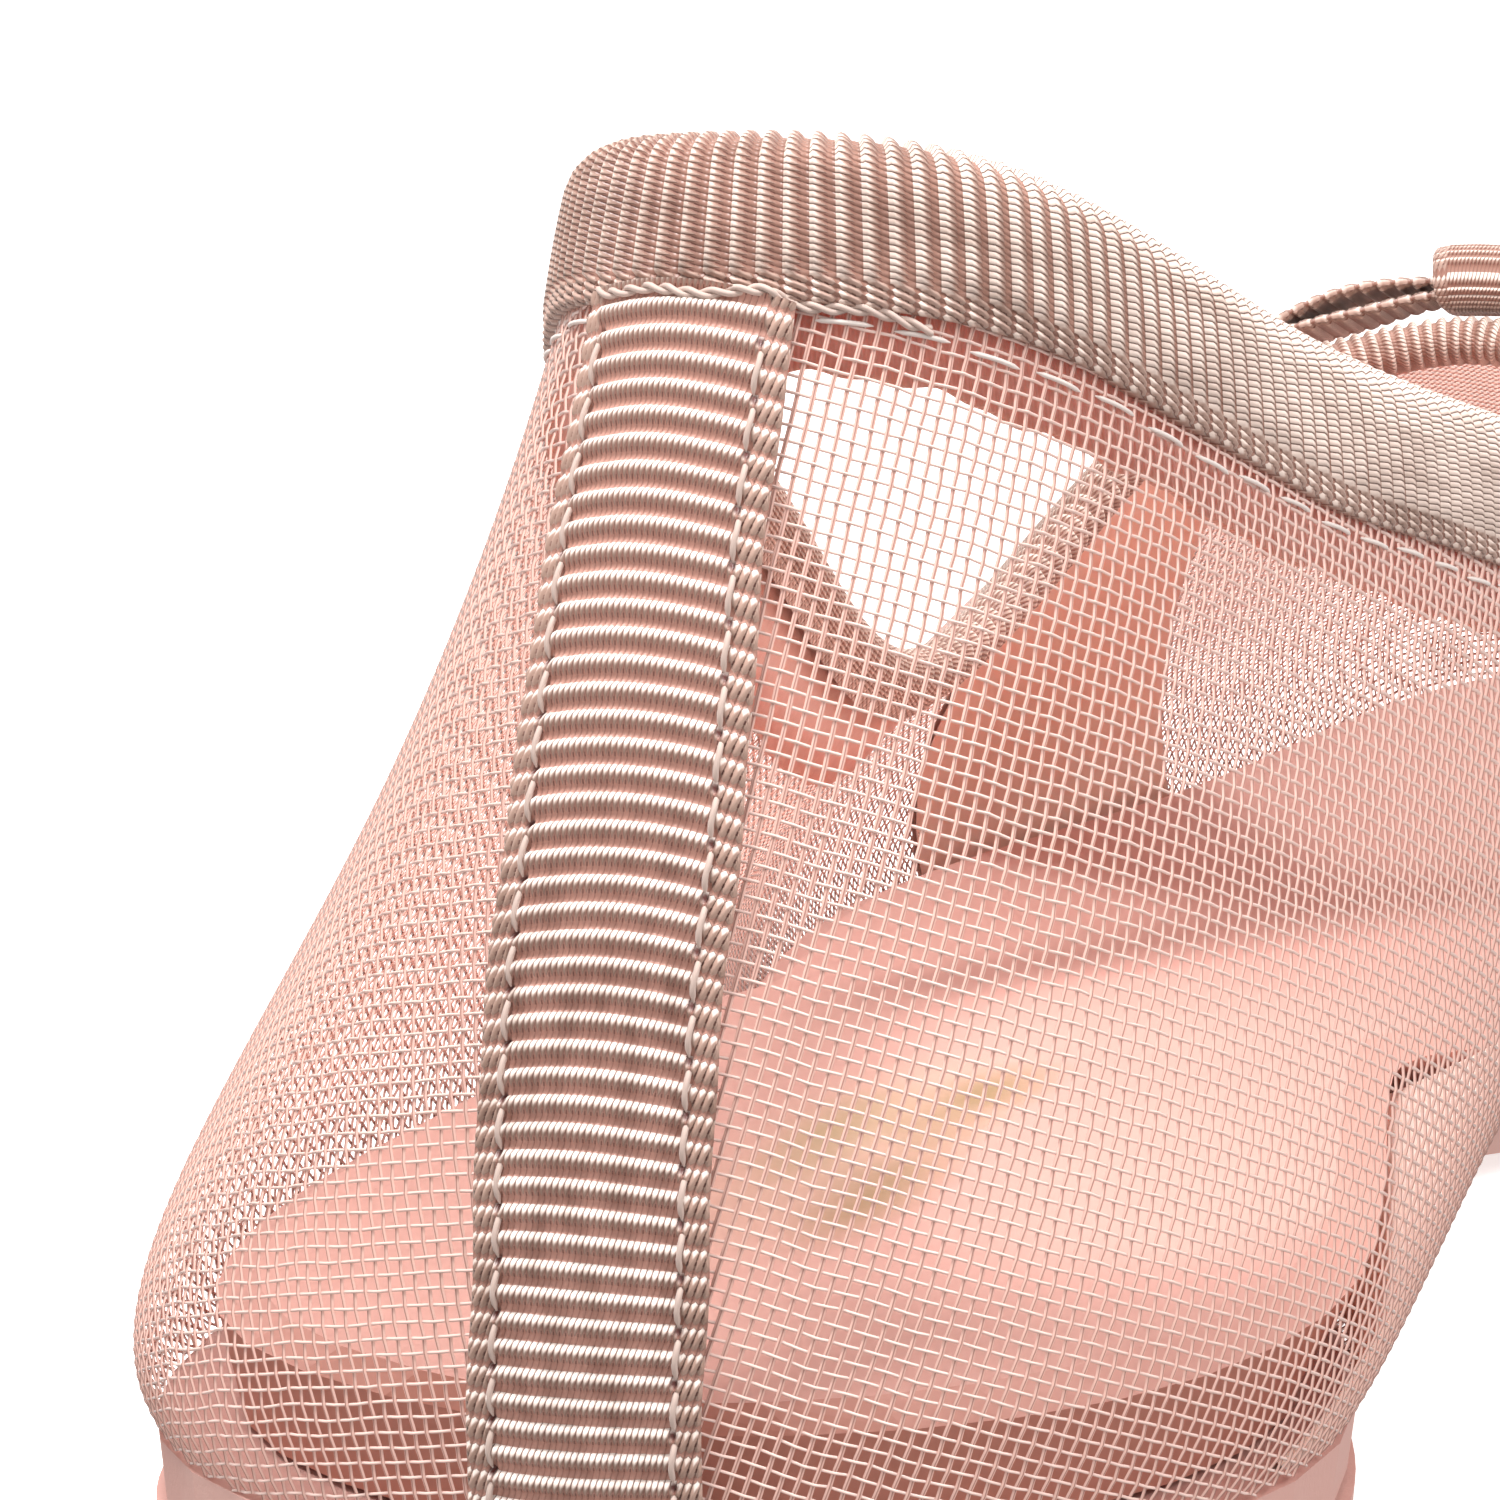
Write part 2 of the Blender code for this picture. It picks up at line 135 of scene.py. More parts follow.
# It is seen, through the mesh too, but the light from beneath is the tent's and not its own.
floor.visible_diffuse = False
floor.visible_glossy = False

SKY_ABOVE, SKY_BELOW = 1.05, 0.50
sky = bpy.data.worlds.new("sky")
sky.use_nodes = True
direction = add_node(sky, "ShaderNodeTexCoord")
climb_part = add_node(sky, "ShaderNodeSeparateXYZ", links={0: direction.outputs["Generated"]})
brightness = add_node(sky, "ShaderNodeMapRange", {
    "From Min": -0.5, "From Max": 0.7, "To Min": SKY_BELOW, "To Max": SKY_ABOVE,
}, {"Value": climb_part.outputs["Z"]})
sky.node_tree.nodes["Background"].inputs["Color"].default_value = linear("#FFFDFB")
sky.node_tree.links.new(
    brightness.outputs["Result"], sky.node_tree.nodes["Background"].inputs["Strength"],
)
bpy.context.scene.world = sky
bpy.context.scene.view_settings.view_transform = "Standard"

for lamp_name, place, aim, width, power in (
    ("key_lamp", (-0.10, -0.20, 0.68), (0.0, 0.0, 0.03), 0.20, 5.5),
    ("side_lamp", (0.55, -0.10, 0.50), (0.0, 0.05, 0.03), 0.40, 2.5),
):
    lamp_data = bpy.data.lights.new(lamp_name, "AREA")
    lamp_data.shape = "SQUARE"
    lamp_data.size = width
    lamp_data.energy = power
    lamp = bpy.data.objects.new(lamp_name, lamp_data)
    lamp.location = place
    step = np.array(place) - np.array(aim)
    lamp.rotation_euler = (
        math.atan2(math.hypot(step[0], step[1]), step[2]), 0.0,
        math.atan2(step[1], step[0]) + math.pi / 2,
    )
    bpy.context.scene.collection.objects.link(lamp)


# Last
# The shoe is made over a last. Each row is a line up the wall, from the sole to the
# topline, from the back round the inner side to the toe and home along the outer side.
# Columns: foot along and across, top along and across, height, bulge, rise, and how far
# the wall's upper handle lies from the topline to the bulge, level and downwards.
SOLE_LENGTH, BALL_WIDTH, BACK_HEIGHT = 244.0, 76.0, 52.0
SEAT_HEIGHT, SOLE_THICKNESS, TOE_SPRING, HEEL_LENGTH = 12.0, 3.0, 5.5, 52.0
GAP = 0.3
LAST = np.array([
    (-0.100, 0.021, -0.065, 0.040, 1.000, 0.026, 0.35, 0.41, 0.41),
    (-0.073, 0.214, -0.054, 0.164, 0.985, 0.034, 0.17, 0.50, 0.60),
    (0.000, 0.320, 0.008, 0.274, 0.846, 0.052, 0.13, 0.60, 0.65),
    (0.100, 0.240, 0.098, 0.363, 0.717, 0.178, 0.16, 0.62, 0.62),
    (0.240, 0.128, 0.234, 0.382, 0.510, 0.268, 0.17, 0.60, 0.60),
    (0.389, 0.190, 0.381, 0.355, 0.298, 0.128, 0.12, 0.60, 0.60),
    (0.574, 0.450, 0.459, 0.263, 0.510, 0.053, 0.19, 0.50, 0.50),
    (0.762, 0.405, 0.498, 0.164, 0.603, 0.039, 0.25, 0.50, 0.50),
    (0.868, 0.272, 0.514, 0.105, 0.628, 0.033, 0.27, 0.48, 0.48),
    (0.900, 0.033, 0.519, 0.051, 0.635, 0.029, 0.29, 0.47, 0.47),
    (0.868, -0.216, 0.514, -0.005, 0.626, 0.033, 0.27, 0.48, 0.48),
    (0.758, -0.375, 0.496, -0.086, 0.597, 0.039, 0.25, 0.50, 0.50),
    (0.533, -0.526, 0.451, -0.191, 0.500, 0.053, 0.19, 0.50, 0.50),
    (0.361, -0.421, 0.379, -0.276, 0.312, 0.039, 0.12, 0.60, 0.60),
    (0.225, -0.342, 0.234, -0.243, 0.540, 0.042, 0.13, 0.55, 0.65),
    (0.107, -0.330, 0.098, -0.170, 0.760, 0.066, 0.13, 0.38, 0.60),
    (0.000, -0.334, 0.004, -0.094, 0.886, 0.068, 0.13, 0.29, 0.60),
    (-0.072, -0.232, -0.043, -0.044, 0.972, 0.053, 0.16, 0.30, 0.58),
]) * (
    SOLE_LENGTH, BALL_WIDTH, SOLE_LENGTH, BALL_WIDTH, BACK_HEIGHT,
    BALL_WIDTH, BACK_HEIGHT, 1.0, 1.0,
)
TIP_LINE = 9
HEEL_FRONT = HEEL_LENGTH - 0.1 * SOLE_LENGTH
BALL_START, BALL_END = 0.485 * SOLE_LENGTH, 0.67 * SOLE_LENGTH


def loop_spline(places, values, period):
    """Second derivatives of the smooth closed curve through the values."""
    count = len(places)
    steps = np.diff(np.append(places, period))
    matrix = np.zeros((count, count))
    right = np.zeros_like(values)
    for i in range(count):
        before, after = steps[i - 1], steps[i]
        matrix[i, i - 1] += before
        matrix[i, i] += 2 * (before + after)
        matrix[i, (i + 1) % count] += after
        slope_after = (values[(i + 1) % count] - values[i]) / after
        slope_before = (values[i] - values[i - 1]) / before
        right[i] = 6 * (slope_after - slope_before)
    return np.linalg.solve(matrix, right)


_middle = (LAST[:, 0:2] + LAST[:, 2:4]) / 2
_chords = np.linalg.norm(np.roll(_middle, -1, axis=0) - _middle, axis=1)
GIRTH = float(_chords.sum())
LINE_PLACES = np.concatenate([[0.0], np.cumsum(_chords)[:-1]])
LINE_BENDS = loop_spline(LINE_PLACES, LAST, GIRTH)
TIP_PLACE = float(LINE_PLACES[TIP_LINE])


def last_rows(places):
    """Every column of the last at many places on the way round."""
    places = np.asarray(places, dtype=float) % GIRTH
    i = np.searchsorted(LINE_PLACES, places, side="right") - 1
    j = (i + 1) % len(LINE_PLACES)
    step = np.where(j > 0, LINE_PLACES[j], GIRTH) - LINE_PLACES[i]
    b = ((places - LINE_PLACES[i]) / step)[..., None]
    a = 1 - b
    bend = ((a ** 3 - a) * LINE_BENDS[i] + (b ** 3 - b) * LINE_BENDS[j])
    return a * LAST[i] + b * LAST[j] + bend * step[..., None] ** 2 / 6


def smoothstep(t):
    t = np.clip(t, 0.0, 1.0)
    return t * t * (3 - 2 * t)


def sole_top(along):
    """Height of the outsole's upper face: seat, arch, flat ball and toe spring."""
    seat = SEAT_HEIGHT - SOLE_THICKNESS
    arch = seat * (1 - smoothstep((along - HEEL_FRONT) / (BALL_START - HEEL_FRONT)))
    toe = np.maximum(along - BALL_END, 0.0) / (0.9 * SOLE_LENGTH - BALL_END)
    return np.where(along < BALL_START, arch, TOE_SPRING * toe ** 2) + SOLE_THICKNESS


def unit(vectors):
    return vectors / np.linalg.norm(vectors, axis=-1, keepdims=True)


def wall(places, levels):
    """Points on the wall's outer face. Levels run from 0 at the sole to 1 at the topline."""
    places, levels = np.broadcast_arrays(
        np.asarray(places, dtype=float), np.asarray(levels, dtype=float),
    )
    row = last_rows(places)
    ahead = last_rows(places + 0.5)[..., :2] - last_rows(places - 0.5)[..., :2]
    out = unit(np.stack([ahead[..., 0], -ahead[..., 1]], axis=-1)) * row[..., 5:6]
    foot = np.stack([row[..., 1], row[..., 0], sole_top(row[..., 0]) + GAP], axis=-1)
    top = np.stack([row[..., 3], row[..., 2], SEAT_HEIGHT + row[..., 4]], axis=-1)
    belly = foot + np.stack([out[..., 0], out[..., 1], row[..., 6]], axis=-1)
    high = top + row[..., [7, 7, 8]] * (belly - top)
    t = levels[..., None]
    s = 1 - t
    return s ** 3 * foot + 3 * s * s * t * belly + 3 * s * t * t * high + t ** 3 * top


def wall_axes(places, levels):
    """Point, climb, girth and outward directions on the wall's outer face."""
    places, levels = np.broadcast_arrays(
        np.asarray(places, dtype=float), np.asarray(levels, dtype=float),
    )
    low = np.clip(levels, 0.02, 0.98)
    climb = unit(wall(places, low + 0.02) - wall(places, low - 0.02))
    girth = unit(wall(places + 0.5, levels) - wall(places - 0.5, levels))
    return wall(places, levels), climb, girth, unit(np.cross(girth, climb))


def on_wall(places, depths, offsets):
    """Points set off from the wall, each some depth below the topline. Places run along
    the first axis and depths along the second. Above the topline a depth is negative."""
    places = np.asarray(places, dtype=float)
    depths = np.broadcast_to(np.asarray(depths, dtype=float), np.shape(depths))
    point, climb, girth, normal = wall_axes(places, 1.0)
    square = np.linalg.norm(np.cross(climb, girth), axis=-1)
    runs = depths / np.maximum(square, 0.5)[:, None]
    levels = np.linspace(1.0, 0.0, 41)
    lines = wall(places[:, None], levels[None, :])
    steps = np.linalg.norm(np.diff(lines, axis=1), axis=2)
    lengths = np.concatenate([np.zeros((len(places), 1)), np.cumsum(steps, axis=1)], axis=1)
    found = np.array([np.interp(run, length, levels) for run, length in zip(runs, lengths)])
    below, _, _, out = wall_axes(places[:, None], found)
    above = point[:, None] - climb[:, None] * runs[..., None]
    points = np.where(runs[..., None] > 0, below, above)
    out = np.where(runs[..., None] > 0, out, normal[:, None])
    return points + out * np.asarray(offsets, dtype=float)[..., None]


# Mesh upper
# Open nylon mesh, one thickness, woven plain from single filaments about 0.1 mm thick and
# 0.6 mm apart. It is cut flat in two halves, each on its own grain, and pulled over the
# last, so the threads run straight in the flat pattern and curve with the shoe.
MESH_PITCH = 0.60
WEFT_HALF = (0.062, 0.060)  # half width along the cloth, half thickness
WARP_HALF = (0.092, 0.050)  # two filaments lie side by side
FULLER, FULLER_ENDS = 0.30, (8.0, 60.0)  # threads swell by this share away from the seam
ARCH_FULLER = 0.40  # and by this share more along the arch, rising and falling between
ARCH_FULLER_ENDS = (25.0, 70.0, 110.0, 150.0)
WEAVE_DEPTH = 0.045
MESH_INSET = 0.12  # how far the cloth lies inside the solid wall's outer face
INNER_GRAIN = -13.8  # degrees, in the flat pattern
OUTER_GRAIN = 45.5
SEAM_LAP = 1.0  # how far each half runs on past the toe's middle
HIDDEN_DEPTH = 2.6  # cloth this close to the topline is inside the binding
PATTERN_COLUMNS, PATTERN_ROWS, PATTERN_ROUNDS = 141, 15, 20
PATTERN_FOOT = -0.012  # the cloth goes on a little below the wall's foot
PATTERN_MARGIN = 4.0  # how far past its ends a half is searched for crossings
THREAD_EDGE = -0.6  # how low a thread's edges lie, in half thicknesses


def flat_pattern():
    """Flatten the wall, cut open at the back seam, with as little stretch as possible."""
    places = np.linspace(0, GIRTH, PATTERN_COLUMNS)
    levels = np.linspace(PATTERN_FOOT, 1.0, PATTERN_ROWS)
    points = wall(places[:, None], levels[None, :])
    middle = PATTERN_ROWS // 2
    _, _, girth, normal = wall_axes(places, levels[middle])
    side = np.cross(normal, girth)
    turns = np.sum(np.diff(girth, axis=0) * (side[1:] + side[:-1]) / 2, axis=1)
    heading = np.concatenate([[0.0], np.cumsum(turns)])
    between = (heading[1:] + heading[:-1]) / 2
    steps = np.linalg.norm(np.diff(points[:, middle], axis=0), axis=1)
    walk = np.stack([np.cos(between), np.sin(between)], axis=1) * steps[:, None]
    centre = np.vstack([[0.0, 0.0], np.cumsum(walk, axis=0)])
    climbs = np.cumsum(np.linalg.norm(np.diff(points, axis=1), axis=2), axis=1)
    climbs = np.concatenate([np.zeros((PATTERN_COLUMNS, 1)), climbs], axis=1)
    climbs -= climbs[:, middle:middle + 1]
    across = np.stack([-np.sin(heading), np.cos(heading)], axis=1)
    flat = (centre[:, None] + across[:, None] * climbs[..., None]).reshape(-1, 2)

    index = np.arange(PATTERN_COLUMNS * PATTERN_ROWS).reshape(PATTERN_COLUMNS, PATTERN_ROWS)
    a, b, c, d = index[:-1, :-1], index[1:, :-1], index[1:, 1:], index[:-1, 1:]
    faces = np.concatenate([
        np.stack([a, b, c], axis=-1).reshape(-1, 3), np.stack([a, c, d], axis=-1).reshape(-1, 3),
    ])
    corners = points.reshape(-1, 3)[faces]
    edge, other = corners[:, 1] - corners[:, 0], corners[:, 2] - corners[:, 0]
    axis = unit(edge)
    rest = np.zeros((len(faces), 3, 2))
    rest[:, 1, 0] = np.linalg.norm(edge, axis=1)
    rest[:, 2, 0] = np.sum(other * axis, axis=1)
    rest[:, 2, 1] = np.linalg.norm(other - axis * rest[:, 2, 0:1], axis=1)

    count = len(flat)
    stiffness = np.zeros((count, count))
    sides = []
    for k in range(3):
        i, j = (k + 1) % 3, (k + 2) % 3
        u, v = rest[:, i] - rest[:, k], rest[:, j] - rest[:, k]
        weight = np.sum(u * v, axis=1) / np.abs(u[:, 0] * v[:, 1] - u[:, 1] * v[:, 0])
        weight = np.maximum(weight, 0.02)
        sides.append((faces[:, i], faces[:, j], rest[:, i] - rest[:, j], weight))
        for m, n, sign in ((i, j, -1), (j, i, -1), (i, i, 1), (j, j, 1)):
            np.add.at(stiffness, (faces[:, m], faces[:, n]), sign * weight)
    stiffness[0, 0] += 1.0
    solver = np.linalg.inv(stiffness)
    for _ in range(PATTERN_ROUNDS):
        fit = np.zeros((len(faces), 2, 2))
        for start, end, span, weight in sides:
            fit += weight[:, None, None] * (flat[start] - flat[end])[:, :, None] * span[:, None, :]
        turn = np.arctan2(fit[:, 1, 0] - fit[:, 0, 1], fit[:, 0, 0] + fit[:, 1, 1])
        cos, sin = np.cos(turn), np.sin(turn)
        pull = np.zeros((count, 2))
        for start, end, span, weight in sides:
            turned = np.stack([
                cos * span[:, 0] - sin * span[:, 1], sin * span[:, 0] + cos * span[:, 1],
            ], axis=1) * weight[:, None]
            np.add.at(pull, start, turned)
            np.add.at(pull, end, -turned)
        flat = solver @ pull
    where = np.stack(np.broadcast_arrays(places[:, None], levels[None, :]), axis=-1)
    return flat, where.reshape(-1, 2), faces


PATTERN = flat_pattern()


def crossings(grain, first, last):
    """Place and level of every thread crossing on one half, as a grid with gaps."""
    flat, where, faces = PATTERN
    cos, sin = math.cos(math.radians(grain)), math.sin(math.radians(grain))
    cells = flat @ np.array([[cos, -sin], [sin, cos]]) / MESH_PITCH
    middle = where[faces, 0].mean(axis=1)
    faces = faces[(middle > first - PATTERN_MARGIN) & (middle < last + PATTERN_MARGIN)]
    low = np.floor(cells[faces].reshape(-1, 2).min(axis=0)).astype(int)
    high = np.ceil(cells[faces].reshape(-1, 2).max(axis=0)).astype(int)
    grid = np.full((*(high - low + 1), 2), np.nan)
    for face in faces:
        a, b, c = cells[face]
        start = np.ceil(np.minimum(np.minimum(a, b), c)).astype(int)
        end = np.floor(np.maximum(np.maximum(a, b), c)).astype(int)
        if (end < start).any():
            continue
        spots = np.stack(np.meshgrid(
            np.arange(start[0], end[0] + 1), np.arange(start[1], end[1] + 1), indexing="ij",
        ), axis=-1).reshape(-1, 2)
        shares = (spots - a) @ np.linalg.inv(np.stack([b - a, c - a]))
        inside = (shares >= -1e-9).all(axis=1) & (shares.sum(axis=1) <= 1 + 1e-9)
        spots, shares = spots[inside], shares[inside]
        value = where[face[0]] + shares @ np.stack([
            where[face[1]] - where[face[0]], where[face[2]] - where[face[0]],
        ])
        grid[spots[:, 0] - low[0], spots[:, 1] - low[1]] = value
    grid[(grid[..., 0] < first) | (grid[..., 0] > last)] = np.nan
    return grid


def threads(name, points, normals, known, halves, swell, material):
    """Raised strips along the first axis of a grid of points, between known ones."""
    ahead = np.zeros_like(points)
    ahead[1:-1] = points[2:] - points[:-2]
    ahead[0], ahead[-1] = points[1] - points[0], points[-1] - points[-2]
    alone = ~np.isfinite(ahead).all(axis=-1)
    forward = np.full_like(points, np.nan)
    forward[:-1] = points[1:] - points[:-1]
    backward = np.full_like(points, np.nan)
    backward[1:] = forward[:-1]
    use_forward = alone & np.isfinite(forward).all(axis=-1)
    use_backward = alone & ~use_forward
    ahead[use_forward] = forward[use_forward]
    ahead[use_backward] = backward[use_backward]
    known = known & np.isfinite(ahead).all(axis=-1)
    ahead = unit(np.where(known[..., None], ahead, 1.0))
    out = np.where(known[..., None], normals, 1.0)
    side = unit(np.cross(ahead, out))
    out = np.cross(side, ahead)
    number = np.full(known.shape, -1)
    number[known] = np.arange(known.sum())
    rise = np.array([THREAD_EDGE, 1.0, THREAD_EDGE]) * halves[1]
    reach = np.array([-1.0, 0.0, 1.0]) * halves[0]
    ring = out[..., None, :] * rise[:, None] + side[..., None, :] * reach[:, None]
    ring = points[..., None, :] + ring * swell[..., None, None]
    vertices = ring[known].reshape(-1, 3)
    pair = known[:-1] & known[1:]
    start, end = number[:-1][pair] * 3, number[1:][pair] * 3
    quads = [
        np.stack([start + k, start + k + 1, end + k + 1, end + k], axis=1) for k in range(2)
    ]
    crest = np.tile([0.0, 1.0, 0.0], len(vertices) // 3)
    return quad_piece(name, vertices, np.concatenate(quads), material, {"crest": crest})


# Nylon 6 filament, drawn and dyed pale pink. A weft is one filament that is bright where
# lit. A warp is two side by side, drawn as one strip with a painted shade line where the two part.
# The weft's colour is a little paler than the warp's, partly as painted highlight.
weft_nylon = new_material("drawn_nylon_weft")
finish_material(weft_nylon, add_node(weft_nylon, "ShaderNodeBsdfPrincipled", {
    "Base Color": linear("#F2CFC4"), "Roughness": 0.22, "IOR": 1.53,
    "Coat Weight": 0.5, "Coat Roughness": 0.1,
}))
warp_nylon = new_material("drawn_nylon_warp")
crest = add_node(warp_nylon, "ShaderNodeAttribute", {"attribute_name": "crest"})
# Painted shade: a darker line down the warp's crest, where its two filaments part.
painted_gap_shade = add_node(warp_nylon, "ShaderNodeMapRange", {
    "From Min": 0.62, "From Max": 0.80,
}, {"Value": crest.outputs["Fac"]})
filaments_with_painted_gap_shade = add_node(warp_nylon, "ShaderNodeMix", {
    "data_type": "RGBA", 6: linear("#EBBFB2"), 7: linear("#B58478"),
}, {0: painted_gap_shade.outputs["Result"]})
finish_material(warp_nylon, add_node(warp_nylon, "ShaderNodeBsdfPrincipled", {
    "Roughness": 0.30, "IOR": 1.53,
}, {"Base Color": filaments_with_painted_gap_shade.outputs[2]}))

for half, grain, first, last in (
    ("inner", INNER_GRAIN, 0.0, TIP_PLACE + SEAM_LAP),
    ("outer", OUTER_GRAIN, TIP_PLACE - SEAM_LAP, GIRTH),
):
    grid = crossings(grain, first, last)
    known = np.isfinite(grid[..., 0])
    safe = np.where(known[..., None], grid, 0.5)
    point, climb, girth, normal = wall_axes(safe[..., 0], safe[..., 1])
    heights = np.linalg.norm(wall(safe[..., 0], 1.0) - wall(safe[..., 0], 0.5), axis=-1) * 2
    known &= (1 - safe[..., 1]) * heights > HIDDEN_DEPTH
    from_seam = np.minimum(safe[..., 0], GIRTH - safe[..., 0])
    fuller = 1 + FULLER * smoothstep(
        (from_seam - FULLER_ENDS[0]) / (FULLER_ENDS[1] - FULLER_ENDS[0]),
    )
    if half == "inner":
        rise_start, rise_end, fall_start, fall_end = ARCH_FULLER_ENDS
        fuller = fuller + ARCH_FULLER * np.minimum(
            smoothstep((from_seam - rise_start) / (rise_end - rise_start)),
            smoothstep((fall_end - from_seam) / (fall_end - fall_start)),
        )
    i, j = np.indices(known.shape)
    over = np.where((i + j) % 2 == 0, 1.0, -1.0) * WEAVE_DEPTH
    for kind, sign, halves, nylon in (
        ("weft", 1, WEFT_HALF, weft_nylon), ("warp", -1, WARP_HALF, warp_nylon),
    ):
        middle = point + normal * (sign * over - MESH_INSET)[..., None]
        middle = np.where(known[..., None], middle, np.nan)
        if kind == "warp":
            middle, out, have = middle.swapaxes(0, 1), normal.swapaxes(0, 1), known.T
            swell = fuller.T
        else:
            out, have, swell = normal, known, fuller
        cloth = threads(f"mesh_{kind}_{half}", middle, out, have, halves, swell, nylon)
        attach(cloth, "root")
        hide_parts("upper")


# Side stays
# Beside the bow a band of thin pink satin, a third of a millimetre thick, is bonded to each
# half of the mesh, from the sole to the topline. It stops the cloth from stretching.
STAY_REACH = (33.0, 54.0)  # each way round from the toe's middle
STAY_LEVELS = (0.01, 0.97)
STAY_OUTSIDE, STAY_INSIDE = -0.62, -0.95  # set in behind the facing tape
STAY_COLUMNS, STAY_ROWS = 40, 16

# Viscose satin, woven and piece dyed: a soft sheen, thin enough to glow with light from
# behind. Its slubs are about 1.4 mm long.
lining_satin = new_material("woven_viscose_satin")
threads_fine = add_node(lining_satin, "ShaderNodeNewGeometry")
slub = add_node(lining_satin, "ShaderNodeTexNoise", {
    "Scale": 700.0, "Detail": 3.0, "Roughness": 0.6,
}, {"Vector": threads_fine.outputs["Position"]})
satin_tone = add_node(lining_satin, "ShaderNodeMix", {
    "data_type": "RGBA", 6: linear("#EBBBAE"), 7: linear("#F1C8BC"),
}, {0: slub.outputs["Fac"]})
satin_bump = add_node(lining_satin, "ShaderNodeBump", {
    "Strength": 0.3, "Distance": 0.00005,
}, {"Height": slub.outputs["Fac"]})
finish_material(lining_satin, add_node(lining_satin, "ShaderNodeBsdfPrincipled", {
    "Roughness": 0.5, "Sheen Weight": 0.2,
    "Subsurface Weight": 1.0, "Subsurface Radius": (1.0, 0.65, 0.55), "Subsurface Scale": 0.0012,
}, {"Base Color": satin_tone.outputs[2], "Normal": satin_bump.outputs["Normal"]}))


def sheet_quads(rows, columns, closed=False):
    """Faces of a grid of points. A closed sheet joins its last column to the first."""
    index = np.arange(rows * columns).reshape(rows, columns)
    if closed:
        index = np.concatenate([index, index[:, :1]], axis=1)
    return np.stack([
        index[:-1, :-1], index[:-1, 1:], index[1:, 1:], index[1:, :-1],
    ], axis=-1).reshape(-1, 4)


for name, side in (("side_stay_inner", -1), ("side_stay_outer", 1)):
    reach = np.linspace(*STAY_REACH[::side], STAY_COLUMNS)[:, None]
    levels = np.concatenate([
        np.linspace(*STAY_LEVELS, STAY_ROWS), np.linspace(*STAY_LEVELS[::-1], STAY_ROWS),
    ])[None, :]
    set_in = np.repeat([STAY_OUTSIDE, STAY_INSIDE], STAY_ROWS)[None, :]
    point, _, _, normal = wall_axes(TIP_PLACE + side * reach, levels)
    stay = quad_piece(
        name, point + normal * set_in[..., None],
        sheet_quads(STAY_COLUMNS, 2 * STAY_ROWS, closed=True)[:, ::-1], lining_satin,
    )
    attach(stay, "root")


# Arch lining
# The arch is backed with the same satin, where the foot presses on the waist. It lies close
# behind the mesh, from the sole to half way up the wall at its highest.
ARCH_PLACES, ARCH_FOOT, ARCH_RISE = (26.0, 158.0), 0.01, 0.58
ARCH_FULLNESS = 0.9  # below one its upper edge is fuller than a sine
ARCH_OUTSIDE, ARCH_INSIDE = -0.28, -0.61
ARCH_COLUMNS, ARCH_ROWS = 90, 12
shares = np.linspace(0, 1, ARCH_COLUMNS)[:, None]
places = ARCH_PLACES[0] + shares * (ARCH_PLACES[1] - ARCH_PLACES[0])
steps = np.concatenate([np.linspace(0, 1, ARCH_ROWS), np.linspace(1, 0, ARCH_ROWS)])[None, :]
levels = ARCH_FOOT + steps * ARCH_RISE * np.clip(np.sin(np.pi * shares), 0.02, 1) ** ARCH_FULLNESS
set_in = np.repeat([ARCH_OUTSIDE, ARCH_INSIDE], ARCH_ROWS)[None, :]
point, _, _, normal = wall_axes(places, levels)
arch_lining = quad_piece(
    "arch_lining", point + normal * set_in[..., None],
    sheet_quads(ARCH_COLUMNS, 2 * ARCH_ROWS, closed=True)[:, ::-1], lining_satin,
)
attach(arch_lining, "root")


# Ribbon
# Grosgrain: satin polyester yarns float over thick cross cords, 1.02 mm apart, and dip
# between them into a matt pinkish groove. At both edges they turn back in longer loops.
RIB_PITCH = 1.02
RIB_HEIGHT = 0.40
FLOAT_SHARE = 0.72  # share of a rib that the floats cover, with their points
FLOAT_POINT = 0.4  # share of a rib over which a float narrows to its point
YARN_PITCH = 0.245
YARN_SLANT = 1.05  # in yarns, over one rib
YARN_HEIGHT = 0.07
GROOVE_HEIGHT = 0.07
EDGE_BAND = 0.93  # width of the looped edge: three loops
LOOP_WIDTH = 0.31
LOOP_HEIGHT = 0.30


def ribbon_weave(along, across, half, fine=True):
    """Height of the woven face in mm, and its weave coordinates: ribs, yarns and edge.
    Along the ribbon, and across it from its middle. A coarse one leaves yarns to the bump."""
    along, across = np.broadcast_arrays(along, across)
    ribs = along / RIB_PITCH
    part = ribs % 1.0
    body_half = half - EDGE_BAND
    body_yarns = round(body_half / YARN_PITCH) + 0.5
    edge = half - np.abs(across)
    looped = (edge < EDGE_BAND).astype(float)
    past = np.clip((np.abs(across) - body_half) / LOOP_WIDTH, 0, None)
    yarns = np.clip(across / body_half, -1, 1) * body_yarns + np.sign(across) * past
    aside = np.abs(2 * ((yarns + YARN_SLANT * part + 0.5) % 1.0) - 1)
    if not fine:
        aside = np.where(looped > 0, aside, 0.5)
    taper = np.clip((FLOAT_SHARE - part) / FLOAT_POINT, 0, 1)
    inside = np.clip((np.maximum(taper, looped) - aside) / 0.3, 0, 1)
    crown = np.sin(np.pi * np.clip(part / FLOAT_SHARE, 0, 1) ** 0.7) ** 0.7
    body = GROOVE_HEIGHT + crown * (RIB_HEIGHT - GROOVE_HEIGHT)
    body = body - YARN_HEIGHT * aside ** 2 * inside
    body = body - YARN_HEIGHT * 0.6 * (1 - inside) * crown
    group = np.sin(np.pi * np.clip(part, 0, 1)) ** 0.6
    loops = LOOP_HEIGHT * (0.25 + 0.75 * group) * (1 - 0.7 * aside ** 2)
    loops = loops * np.clip((edge - 0.22 * (1 - group)) / 0.10, 0.1, 1)
    height = np.where(looped > 0, loops, body)
    return height, np.stack([ribs, yarns, looped], axis=-1)
